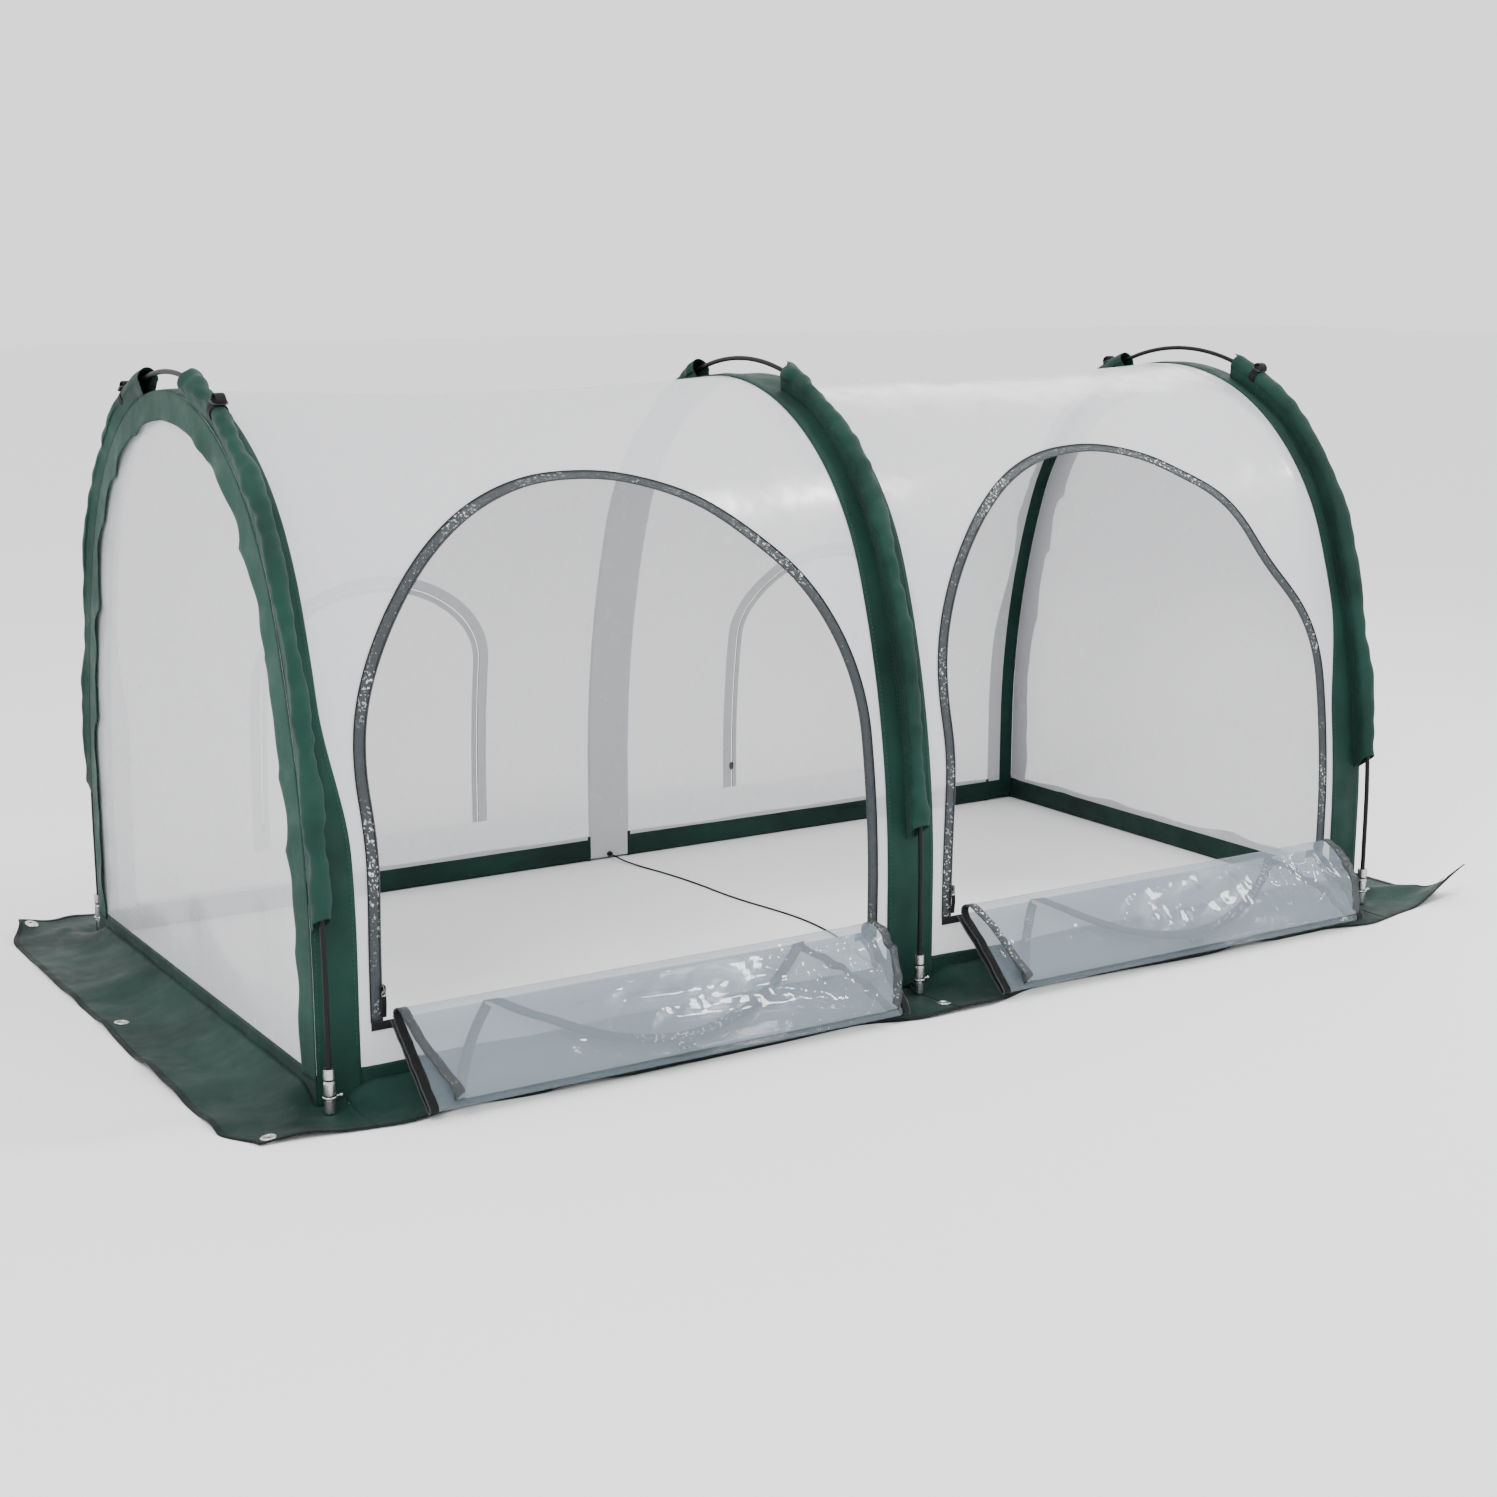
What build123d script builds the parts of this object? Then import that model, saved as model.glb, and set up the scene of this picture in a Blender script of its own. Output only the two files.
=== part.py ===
from build123d import *
from math import asin, cos, degrees, radians, sin, sqrt, tan
import os

# Tunnel greenhouse: three bent rods carry a film cover with a fabric skirt and roll-down doors.
# Millimetres, +Z up.  X runs along the tunnel, the front doors face -Y, and the middle rod is at x = 0.

# --- driving dimensions ------------------------------------------------------------------------
ARCH_SPACING = 900.0        # from the middle rod to each end rod
ROD_SPAN = 950.0            # foot to foot, between rod centres
LEG_TOP = 158.0             # the rod stands straight up to here
CROWN_RADIUS = 420.0        # bend of the rod over the top
SHOULDER_ANGLE = 20.0       # where the side bend meets the crown bend, above horizontal

ROD_R = 3.5
ROD_BORE_R = 1.6
CORD_R = 1.2                # elastic cord inside the rods
ROD_FOOT_Z = 32.5           # lower end of the rod, inside the steel tip
JOINT_ANGLE = 37.0          # where the leg section meets the crown section
JOINT_GAP = 0.5
FERRULE_R = 4.3
FERRULE_BORE_R = 3.55
FERRULE_LENGTH = 60.0

COVER_INSET = 24.0          # from the rod's centre line in to the cover's outer face
FABRIC = 1.0                # thickness of the woven fabric
FILM = 0.8                  # thickness given to the clear film
SEAM_GAP = 0.5              # between pieces on different moving bodies
END_BAND_WIDTH = 60.0
MIDDLE_BAND_HALF = 40.0
END_OVERHANG = 6.0          # the end wall stands this far beyond the end rod's centre
TRIM_WIDTH = 38.0
BAND_FOOT_Z = 2.0

SLEEVE_R = 9.0
SLEEVE_BORE_R = 8.0
SLEEVE_FOOT_Z = 240.0
SLEEVE_END_ANGLE = 69.0
SLEEVE_WEB = 2.0
WEB_CLEARANCE = 0.2

STRIP_HEIGHT = 45.0         # upright strip of the skirt, sewn to its flap along the ground
STRIP_GAP = 0.2             # between the strip and the flap
FLAP_WIDTH = 135.0          # flap of the skirt, lying on the ground
FLAP_BOTTOM = 0.4
FLAP_TOP = 1.6
FLAP_CORNER_R = 30.0
END_FLAP_INNER = 870.0      # the end skirt carries the corners, in to this x
EYELET_HOLE_R = 5.0
EYELET_WALL = 0.8
EYELET_BARREL_R = EYELET_HOLE_R + EYELET_WALL
EYELET_R = 11.0
EYELET_TOP = 2.0
EYELET_EDGE = 41.0          # eyelet centre in from the flap's outer edge, on the sides
EYELET_END_EDGE = 25.0      # the same, on the ends

DOOR_CENTRE = 445.0
DOOR_HALF = 370.0
DOOR_SILL = 100.0
DOOR_JAMB_TOP = 380.0
DOOR_TOP = 750.0
BACK_DOOR_HALF = 190.0
BACK_DOOR_TOP = 525.0
TAPE_WIDTH = 12.0
TAPE = 1.0
TAPE_GAP = 0.05
PANEL_INSET = 8.0           # the loose panel's edge inside the opening's edge
CLOSED_INSET = 1.0
PANEL_FALL = 40.0           # slope of the folded pile, below horizontal
FOLD_REACH = (0.0, 143.0, 0.0, 143.0, 11.0, 138.0)  # of each fold, down the pile from the sill
LAYER_HEIGHTS = (0.0, 8.0, 34.0, 16.0, 25.0)    # the door's top is tucked in under its middle
SILL_HINGE_Y = 453.0
SILL_HINGE_Z = 101.0

TIP_BOTTOM = FLAP_TOP
RING_Z = 24.0
RING_R = 7.5
RING_WIRE_R = 1.75
LOOP_ANGLE = 64.0
LOOP_R = 11.0
LOOP_STRAP = 1.5
LOOP_WIDTH = 14.0
TIE_R = 1.5

# --- the arch outline, worked out from the sizes above ---------------------------------------
HALF_SPAN = ROD_SPAN / 2
TURN = radians(SHOULDER_ANGLE)
SIDE_RADIUS = (HALF_SPAN - CROWN_RADIUS * cos(TURN)) / (1 - cos(TURN))
CROWN_CENTRE_Z = LEG_TOP + (SIDE_RADIUS - CROWN_RADIUS) * sin(TURN)
END_FACE = ARCH_SPACING + END_OVERHANG
FILM_INSET = COVER_INSET + FABRIC - FILM
TAPE_INSET = FILM_INSET - TAPE
FLAP_INNER_Y = HALF_SPAN - COVER_INSET
FLAP_OUTER_Y = FLAP_INNER_Y + FLAP_WIDTH
FLAP_OUTER_X = END_FACE + FLAP_WIDTH
SIDES = {"left": -1, "right": 1}


def arch_line(inset, foot_z):
    """One open arch line in the current plane, set in from the rods' centre line."""
    half = HALF_SPAN - inset
    side = SIDE_RADIUS - inset
    crown = CROWN_RADIUS - inset
    Line((half, foot_z), (half, LEG_TOP))
    CenterArc((half - side, LEG_TOP), side, 0, SHOULDER_ANGLE)
    CenterArc((0, CROWN_CENTRE_Z), crown, SHOULDER_ANGLE, 180 - 2 * SHOULDER_ANGLE)
    CenterArc((side - half, LEG_TOP), side, 180 - SHOULDER_ANGLE, SHOULDER_ANGLE)
    Line((-half, LEG_TOP), (-half, foot_z))


def arch_face(x, inset, foot_z, hollow=0.0):
    """The face under an arch line, or only a strip of it if hollow is the strip's width."""
    with BuildSketch(Plane.YZ.offset(x)) as face:
        with BuildLine():
            arch_line(inset, foot_z)
            Line((inset - HALF_SPAN, foot_z), (HALF_SPAN - inset, foot_z))
        make_face()
        if hollow:
            inner = inset + hollow
            with BuildLine():
                arch_line(inner, foot_z)
                Line((inner - HALF_SPAN, foot_z), (HALF_SPAN - inner, foot_z))
            make_face(mode=Mode.SUBTRACT)
    return face.sketch


def rod_path(x, foot_z, end_angle):
    """The rod's centre line on the back side, from foot_z up to end_angle on the crown."""
    plane = Plane.YZ.offset(x)
    centre_y = HALF_SPAN - SIDE_RADIUS
    with BuildLine(plane) as path:
        if foot_z < LEG_TOP:
            Line((HALF_SPAN, foot_z), (HALF_SPAN, LEG_TOP))
            start = 0.0
        else:
            start = degrees(asin((foot_z - LEG_TOP) / SIDE_RADIUS))
        CenterArc((centre_y, LEG_TOP), SIDE_RADIUS, start, SHOULDER_ANGLE - start)
        CenterArc((0, CROWN_CENTRE_Z), CROWN_RADIUS, SHOULDER_ANGLE, end_angle - SHOULDER_ANGLE)
    return path.wire()


def crown_path(x, start_angle, sweep_angle):
    """A stretch of the rod's centre line over the top."""
    with BuildLine(Plane.YZ.offset(x)) as path:
        CenterArc((0, CROWN_CENTRE_Z), CROWN_RADIUS, start_angle, sweep_angle)
    return path.wire()


def across(path):
    """The plane square to a path at its start, with its x axis pointing into the tunnel."""
    inward = (path % 0).cross(Vector(1, 0, 0))
    if inward.Y * (path @ 0).Y > 0:
        inward = inward * -1
    return Plane(origin=path @ 0, x_dir=inward, z_dir=path % 0)


def tube(path, outer, inner):
    """A round tube along a path, or a round bar if inner is 0."""
    with BuildPart() as bar:
        with BuildSketch(across(path)):
            Circle(outer)
            if inner:
                Circle(inner, mode=Mode.SUBTRACT)
        sweep(path=path)
    return bar.part


def save(builder, label):
    """Name the finished piece and write it."""
    builder.part.label = label
    export_step(builder.part, f"parts/{label}.step")


# --- rods, their joints and feet ----------------------------------------------------------------
def make_rods(name, x):
    gap_angle = degrees(JOINT_GAP / CROWN_RADIUS)
    with BuildPart() as rod_legs:
        add(tube(rod_path(x, ROD_FOOT_Z, JOINT_ANGLE - gap_angle), ROD_R, ROD_BORE_R))
        mirror(about=Plane.XZ)
    save(rod_legs, f"rod_legs_{name}")

    with BuildPart() as rod_crown:
        add(tube(crown_path(x, JOINT_ANGLE, 180 - 2 * JOINT_ANGLE), ROD_R, ROD_BORE_R))
    save(rod_crown, f"rod_crown_{name}")

    ferrule_angle = degrees(FERRULE_LENGTH / CROWN_RADIUS)
    with BuildPart() as ferrules:
        start = JOINT_ANGLE - ferrule_angle / 2
        add(tube(crown_path(x, start, ferrule_angle), FERRULE_R, FERRULE_BORE_R))
        mirror(about=Plane.XZ)
    save(ferrules, f"ferrules_{name}")

    with BuildPart() as shock_cord:
        add(tube(rod_path(x, ROD_FOOT_Z + CORD_R, 90), CORD_R, 0))
        mirror(about=Plane.XZ)
    save(shock_cord, f"shock_cord_{name}")


def make_feet(name, x):
    plug_r = 7.0
    plug_top = 20.0
    neck_r = 4.5
    neck_top = 28.0
    cup_r = 7.5
    cup_top = 61.0
    cup_bore_r = 3.6
    crimp_z = 45.0
    crimp_half = 3.0
    crimp_depth = 0.9
    round_r = 3.0
    with BuildPart() as tips:
        with BuildSketch(Plane.XZ.offset(HALF_SPAN)):
            with BuildLine():
                Polyline(
                    (x + plug_r, TIP_BOTTOM + round_r),
                    (x + plug_r, plug_top),
                    (x + neck_r, plug_top),
                    (x + neck_r, neck_top),
                    (x + cup_r, neck_top),
                    (x + cup_r, crimp_z - crimp_half),
                    (x + cup_r - crimp_depth, crimp_z),
                    (x + cup_r, crimp_z + crimp_half),
                    (x + cup_r, cup_top),
                    (x + cup_bore_r, cup_top),
                    (x + cup_bore_r, ROD_FOOT_Z),
                    (x, ROD_FOOT_Z),
                    (x, TIP_BOTTOM),
                    (x + plug_r - round_r, TIP_BOTTOM),
                )
                RadiusArc(
                    (x + plug_r - round_r, TIP_BOTTOM),
                    (x + plug_r, TIP_BOTTOM + round_r),
                    -round_r,
                )
            make_face()
        revolve(axis=Axis((x, -HALF_SPAN, 0), (0, 0, 1)))
        mirror(about=Plane.XZ)
    save(tips, f"tips_{name}")

    stem_r = 1.5
    stem_length = 6.0
    ball_r = 3.0
    with BuildPart() as rings:
        with Locations((x, -HALF_SPAN, RING_Z)):
            Torus(RING_R, RING_WIRE_R)
        with Locations((x + RING_R + stem_length / 2, -HALF_SPAN, RING_Z)):
            Cylinder(stem_r, stem_length, rotation=(0, 90, 0))
        with Locations((x + RING_R + stem_length + ball_r / 2, -HALF_SPAN, RING_Z)):
            Sphere(ball_r)
        mirror(about=Plane.XZ)
    save(rings, f"rings_{name}")


def make_sleeves(name, x):
    web_end = COVER_INSET - WEB_CLEARANCE
    web_start = (SLEEVE_BORE_R + SLEEVE_R) / 2
    web_centre = (web_start + web_end) / 2
    path = rod_path(x, SLEEVE_FOOT_Z, SLEEVE_END_ANGLE)
    with BuildPart() as sleeves:
        with BuildSketch(across(path)):
            Circle(SLEEVE_R)
            Circle(SLEEVE_BORE_R, mode=Mode.SUBTRACT)
            with Locations((web_centre, 0)):
                Rectangle(web_end - web_start, SLEEVE_WEB)
        sweep(path=path)
        mirror(about=Plane.XZ)
    save(sleeves, f"sleeves_{name}")


# --- cover ---------------------------------------------------------------------------------------
def make_band(name, x_low, x_high):
    with BuildPart() as band:
        extrude(arch_face(x_low, COVER_INSET, BAND_FOOT_Z, FABRIC), amount=x_high - x_low)
    save(band, f"band_{name}")


DOORWAY_HALVES = {"front": DOOR_HALF, "back": BACK_DOOR_HALF}
DOORWAY_TOPS = {"front": DOOR_TOP, "back": BACK_DOOR_TOP}


def doorway(face, centre_x, grow, sill_z):
    """A doorway's outline seen square on: straight jambs under an elliptic arch."""
    half = DOORWAY_HALVES[face] + grow
    rise = DOORWAY_TOPS[face] + grow - DOOR_JAMB_TOP
    with BuildSketch(Plane.XZ) as outline:
        with Locations((centre_x, DOOR_JAMB_TOP)):
            Ellipse(half, rise)
        with Locations((centre_x, (sill_z + DOOR_JAMB_TOP) / 2)):
            Rectangle(2 * half, DOOR_JAMB_TOP - sill_z)
        with Locations((centre_x, sill_z - DOOR_TOP / 2)):
            Rectangle(4 * half, DOOR_TOP, mode=Mode.SUBTRACT)
    return outline.sketch


def make_bay(name, side):
    ends = (side * (END_FACE - END_BAND_WIDTH - SEAM_GAP), side * (MIDDLE_BAND_HALF + SEAM_GAP))
    front_opening = doorway("front", side * DOOR_CENTRE, 0, DOOR_SILL)
    back_opening = doorway("back", side * DOOR_CENTRE, 0, DOOR_SILL)
    wall = arch_face(min(ends), FILM_INSET, STRIP_HEIGHT, FILM)
    with BuildPart() as bay_film:
        extrude(wall, amount=max(ends) - min(ends))
        extrude(front_opening, amount=ROD_SPAN, mode=Mode.SUBTRACT)
        extrude(back_opening, amount=-ROD_SPAN, mode=Mode.SUBTRACT)
    save(bay_film, f"bay_film_{name}")


def make_end(name, side):
    face_x = side * END_FACE
    with BuildPart() as end_wall:
        extrude(arch_face(face_x, COVER_INSET + 2 * FABRIC, STRIP_HEIGHT), amount=-side * FILM)
    save(end_wall, f"end_wall_{name}")

    with BuildPart() as end_trim:
        extrude(arch_face(face_x, COVER_INSET, STRIP_HEIGHT, TRIM_WIDTH), amount=side * FABRIC)
    save(end_trim, f"end_trim_{name}")


# --- skirt and eyelets ----------------------------------------------------------------------------
def eyelet_places(name):
    """Centres of the eyelets in the end skirts and in the middle of the side skirts."""
    side_y = FLAP_OUTER_Y - EYELET_EDGE
    if name == "middle":
        return [(0, -side_y), (0, side_y)]
    end_x = SIDES[name] * (FLAP_OUTER_X - EYELET_END_EDGE)
    corner_y = FLAP_OUTER_Y - EYELET_END_EDGE
    return [(end_x, -corner_y), (end_x, 0), (end_x, corner_y)]


def eyelet_circles(name, z, outer, inner=0.0):
    """Round outlines at the eyelets, with holes if inner is given."""
    with BuildSketch(Plane.XY.offset(z)) as circles:
        with Locations(*eyelet_places(name)):
            Circle(outer)
            if inner:
                Circle(inner, mode=Mode.SUBTRACT)
    return circles.sketch


def upright_strip(x, y, length, depth):
    """Outline of a skirt's upright strip, seen from above."""
    with BuildSketch(Plane.XY.offset(FLAP_BOTTOM)) as strip:
        with Locations((x, y)):
            Rectangle(length, depth)
    return strip.sketch


def make_end_skirt(name, side):
    middle_x = side * (FLAP_OUTER_X + END_FLAP_INNER) / 2
    notch_end = END_FACE + FABRIC + STRIP_GAP
    notch_x = side * (notch_end + END_FLAP_INNER) / 2
    strip_x = side * (END_FACE + FABRIC / 2)
    strip_length = 2 * FLAP_INNER_Y - 2 * FABRIC
    with BuildPart() as end_skirt:
        with BuildSketch(Plane.XY.offset(FLAP_BOTTOM)) as flap:
            with Locations((middle_x, 0)):
                Rectangle(FLAP_OUTER_X - END_FLAP_INNER, 2 * FLAP_OUTER_Y)
            fillet(flap.vertices().group_by(Axis.X)[-1 if side > 0 else 0], FLAP_CORNER_R)
            with Locations((notch_x, 0)):
                Rectangle(notch_end - END_FLAP_INNER, 2 * FLAP_INNER_Y, mode=Mode.SUBTRACT)
        extrude(amount=FLAP_TOP - FLAP_BOTTOM)
        extrude(upright_strip(strip_x, 0, FABRIC, strip_length), amount=STRIP_HEIGHT - FLAP_BOTTOM)
        extrude(eyelet_circles(name, 0, EYELET_BARREL_R), amount=EYELET_TOP, mode=Mode.SUBTRACT)
    save(end_skirt, f"skirt_end_{name}")


def make_side_skirt(face, name, face_sign, side):
    flap_x = side * (END_FLAP_INNER - SEAM_GAP) / 2
    flap_y = face_sign * (FLAP_INNER_Y + STRIP_GAP + FLAP_OUTER_Y) / 2
    strip_low = MIDDLE_BAND_HALF + SEAM_GAP
    strip_high = END_FACE - END_BAND_WIDTH - SEAM_GAP
    strip_x = side * (strip_low + strip_high) / 2
    strip_y = face_sign * (FLAP_INNER_Y - FABRIC / 2)
    with BuildPart() as side_skirt:
        with BuildSketch(Plane.XY.offset(FLAP_BOTTOM)):
            with Locations((flap_x, flap_y)):
                Rectangle(END_FLAP_INNER - SEAM_GAP, FLAP_WIDTH - STRIP_GAP)
        extrude(amount=FLAP_TOP - FLAP_BOTTOM)
        strip = upright_strip(strip_x, strip_y, strip_high - strip_low, FABRIC)
        extrude(strip, amount=STRIP_HEIGHT - FLAP_BOTTOM)
        extrude(eyelet_circles("middle", 0, EYELET_BARREL_R), amount=EYELET_TOP, mode=Mode.SUBTRACT)
    save(side_skirt, f"skirt_{face}_{name}")


def make_eyelets(name):
    whole = eyelet_circles(name, 0, EYELET_R, EYELET_HOLE_R)
    groove = eyelet_circles(name, FLAP_BOTTOM, EYELET_R, EYELET_BARREL_R)
    with BuildPart() as eyelets:
        extrude(whole, amount=EYELET_TOP)
        extrude(groove, amount=FLAP_TOP - FLAP_BOTTOM, mode=Mode.SUBTRACT)
    save(eyelets, f"eyelets_{name}")


def make_guy_loops(name, side):
    centre_r = CROWN_RADIUS + SLEEVE_R + LOOP_R + WEB_CLEARANCE
    loop_y = centre_r * cos(radians(LOOP_ANGLE))
    loop_z = CROWN_CENTRE_Z + centre_r * sin(radians(LOOP_ANGLE))
    with BuildPart() as guy_loops:
        with BuildSketch(Plane.YZ.offset(side * ARCH_SPACING - LOOP_WIDTH / 2)):
            with Locations((-loop_y, loop_z), (loop_y, loop_z)):
                Circle(LOOP_R)
                Circle(LOOP_R - LOOP_STRAP, mode=Mode.SUBTRACT)
        extrude(amount=LOOP_WIDTH)
    save(guy_loops, f"guy_loops_{name}")


# --- doors -----------------------------------------------------------------------------------------
def wall_height(along):
    """Height of the cover's outer face, a given way up the wall from the door's sill."""
    side = SIDE_RADIUS - COVER_INSET
    crown = CROWN_RADIUS - COVER_INSET
    upright = LEG_TOP - DOOR_SILL
    side_length = side * TURN
    if along <= upright:
        return DOOR_SILL + along
    if along <= upright + side_length:
        return LEG_TOP + side * sin((along - upright) / side)
    return CROWN_CENTRE_Z + crown * sin(TURN + (along - upright - side_length) / crown)


def panel_half(along):
    """Half width of the loose door, a given way up from its sill."""
    half = DOOR_HALF - PANEL_INSET
    rise = DOOR_TOP - PANEL_INSET - DOOR_JAMB_TOP
    height = wall_height(along)
    if height <= DOOR_JAMB_TOP:
        return half
    return half * sqrt(max(0.0, 1 - ((height - DOOR_JAMB_TOP) / rise) ** 2))


def panel_plane(centre_x, layer):
    """The plane of one layer of the folded pile, with its y axis the way up the door."""
    fall = radians(PANEL_FALL)
    out = Vector(0, -cos(fall), -sin(fall))
    up = Vector(0, -sin(fall), cos(fall))
    sill = Vector(centre_x, -SILL_HINGE_Y, SILL_HINGE_Z)
    origin = sill + up * LAYER_HEIGHTS[layer] + out * FOLD_REACH[layer]
    facing = -1 if FOLD_REACH[layer + 1] > FOLD_REACH[layer] else 1
    return Plane(origin=origin, x_dir=(1, 0, 0), z_dir=out.cross(Vector(1, 0, 0)) * facing)


def make_front_door(name, side):
    hem = 2.0
    centre_x = side * DOOR_CENTRE
    start = 0.0
    for layer, (near, far) in enumerate(zip(FOLD_REACH, FOLD_REACH[1:])):
        length = abs(far - near)
        widths = [panel_half(start + length * part / 2) for part in range(3)]
        start += length
        low = hem / 2
        high = length - hem / 2
        middle = length / 2
        with BuildPart() as door_panel:
            with BuildSketch(panel_plane(centre_x, layer)):
                with BuildLine():
                    Line((-widths[0], low), (widths[0], low))
                    if abs(widths[0] - widths[2]) < 1:
                        Line((widths[0], low), (widths[2], high))
                        Line((-widths[2], high), (-widths[0], low))
                    else:
                        ThreePointArc((widths[0], low), (widths[1], middle), (widths[2], high))
                        ThreePointArc((-widths[2], high), (-widths[1], middle), (-widths[0], low))
                    if widths[2] > hem:
                        Line((widths[2], high), (-widths[2], high))
                make_face()
            extrude(amount=FILM / 2, both=True)
        save(door_panel, f"door_{name}_panel_{layer + 1}")


def make_back_door(name, side):
    outline = doorway("back", side * DOOR_CENTRE, -CLOSED_INSET, DOOR_SILL + CLOSED_INSET)
    low = side * DOOR_CENTRE - BACK_DOOR_HALF
    with BuildPart() as back_door:
        extrude(arch_face(low, FILM_INSET, STRIP_HEIGHT, FILM), amount=2 * BACK_DOOR_HALF)
        extrude(outline, amount=-ROD_SPAN, mode=Mode.INTERSECT)
    save(back_door, f"back_door_{name}")


def zip_tape(face, centre_x, face_sign):
    """One tape, sewn on the film around a doorway's jambs and arch."""
    outer_half = DOORWAY_HALVES[face] + TAPE_WIDTH
    low = centre_x - outer_half
    wall = arch_face(low, TAPE_INSET, STRIP_HEIGHT, TAPE - TAPE_GAP)
    reach = -face_sign * ROD_SPAN
    with BuildPart() as tape:
        extrude(wall, amount=2 * outer_half)
        extrude(doorway(face, centre_x, TAPE_WIDTH, DOOR_SILL), amount=reach, mode=Mode.INTERSECT)
        extrude(doorway(face, centre_x, 0, DOOR_SILL), amount=reach, mode=Mode.SUBTRACT)
    return tape.part


def make_zip_tapes(face, face_sign):
    with BuildPart() as zip_tapes:
        for side in SIDES.values():
            add(zip_tape(face, side * DOOR_CENTRE, face_sign))
    save(zip_tapes, f"zip_tapes_{face}")


def make_slider(face, name, face_sign, side):
    body = (9.0, 6.0, 16.0)
    body_round = 1.5
    tab = (7.0, 1.6, 26.0)
    tab_gap = 0.4
    tab_hole_r = 1.8
    tape_face = HALF_SPAN - TAPE_INSET
    zip_x = side * DOOR_CENTRE - DOORWAY_HALVES[face]
    body_z = DOOR_SILL + 40.0
    body_y = tape_face + tab_gap + body[1] / 2
    tab_y = tape_face + 2 * tab_gap + body[1] + tab[1] / 2
    tab_z = body_z - tab[2] / 2
    with BuildPart() as slider:
        with Locations((zip_x, face_sign * body_y, body_z)):
            Box(*body)
        fillet(slider.edges().filter_by(Axis.Y), body_round)
        with Locations((zip_x, face_sign * tab_y, tab_z)):
            Box(*tab)
        with BuildSketch(Plane.XZ):
            with Locations((zip_x, tab_z - tab[2] / 2 + 2 * tab_hole_r)):
                Circle(tab_hole_r)
        extrude(amount=-face_sign * ROD_SPAN, mode=Mode.SUBTRACT)
    save(slider, f"zip_slider_{face}_{name}")


# --- cord on the ground between the middle feet ----------------------------------------------------
TIE_ROUTE = [
    (0, -450, 9), (0, -432, 9), (5, -406, 4), (15, -366, 1.5), (27, -318, 1.5), (40, -268, 1.5),
    (55, -214, 1.5), (67, -158, 1.5), (73, -100, 1.5), (72, -42, 1.5), (63, 16, 1.5),
    (52, 74, 1.5), (45, 132, 1.5), (43, 190, 1.5), (38, 248, 1.5), (30, 304, 1.5),
    (18, 360, 1.5), (6, 404, 4), (0, 432, 9), (0, 450, 9),
]
BEND_SHARE = 0.45


def tie_line(route):
    """Draw straight runs joined by arcs that meet them smoothly."""
    points = [Vector(*p) for p in route]
    start = points[0]
    for before, corner, after in zip(points, points[1:], points[2:]):
        came = (corner - before).normalized()
        goes = (after - corner).normalized()
        reach = BEND_SHARE * min((corner - before).length, (after - corner).length)
        half_turn = radians(came.get_angle(goes)) / 2
        bend_r = reach / tan(half_turn)
        middle = corner + (goes - came).normalized() * (bend_r / cos(half_turn) - bend_r)
        Line(start, corner - came * reach)
        ThreePointArc(corner - came * reach, middle, corner + goes * reach)
        start = corner + goes * reach
    Line(start, points[-1])


def make_tie():
    with BuildPart() as ground_tie:
        with BuildLine() as route:
            tie_line(TIE_ROUTE)
        path = route.wire()
        with BuildSketch(Plane(origin=path @ 0, z_dir=path % 0)):
            Circle(TIE_R)
        sweep(path=path)
    save(ground_tie, "ground_tie")


os.makedirs("parts", exist_ok=True)
for arch_name, arch_x in (("left", -ARCH_SPACING), ("middle", 0), ("right", ARCH_SPACING)):
    make_rods(arch_name, arch_x)
    make_feet(arch_name, arch_x)
    make_sleeves(arch_name, arch_x)
    make_eyelets(arch_name)
make_band("middle", -MIDDLE_BAND_HALF, MIDDLE_BAND_HALF)
make_band("left", -END_FACE, -END_FACE + END_BAND_WIDTH)
make_band("right", END_FACE - END_BAND_WIDTH, END_FACE)
for end_name, end_side in SIDES.items():
    make_bay(end_name, end_side)
    make_end(end_name, end_side)
    make_end_skirt(end_name, end_side)
    make_guy_loops(end_name, end_side)
    make_front_door(end_name, end_side)
    make_back_door(end_name, end_side)
    for face_name, sign in (("front", -1), ("back", 1)):
        make_side_skirt(face_name, end_name, sign, end_side)
        make_slider(face_name, end_name, sign, end_side)
make_zip_tapes("front", -1)
make_zip_tapes("back", 1)
make_tie()
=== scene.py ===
"""Looks of a pop-up tunnel greenhouse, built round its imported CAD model.

Metres, +Z up.  X runs along the tunnel and the front doors face -Y.
"""

import math

import bmesh
import bpy
import numpy as np
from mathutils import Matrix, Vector


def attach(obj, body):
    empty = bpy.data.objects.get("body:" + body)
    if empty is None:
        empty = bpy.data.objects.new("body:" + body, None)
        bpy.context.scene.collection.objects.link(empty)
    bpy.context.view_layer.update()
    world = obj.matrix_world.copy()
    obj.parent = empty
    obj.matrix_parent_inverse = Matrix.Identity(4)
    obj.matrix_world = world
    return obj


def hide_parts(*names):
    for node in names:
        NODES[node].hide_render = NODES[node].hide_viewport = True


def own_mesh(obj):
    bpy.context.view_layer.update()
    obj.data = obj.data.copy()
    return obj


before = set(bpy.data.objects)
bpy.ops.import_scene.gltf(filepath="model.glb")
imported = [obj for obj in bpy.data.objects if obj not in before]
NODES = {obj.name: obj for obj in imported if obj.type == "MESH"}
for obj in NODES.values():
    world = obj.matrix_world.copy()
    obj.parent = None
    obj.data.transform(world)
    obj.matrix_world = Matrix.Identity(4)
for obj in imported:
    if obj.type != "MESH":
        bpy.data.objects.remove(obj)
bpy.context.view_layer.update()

# --- driving sizes, as in the CAD ---------------------------------------------------------------
ARCH_X = 0.900
HALF_SPAN = 0.475
LEG_TOP = 0.158
CROWN_R = 0.420
TURN = math.radians(20)
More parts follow.
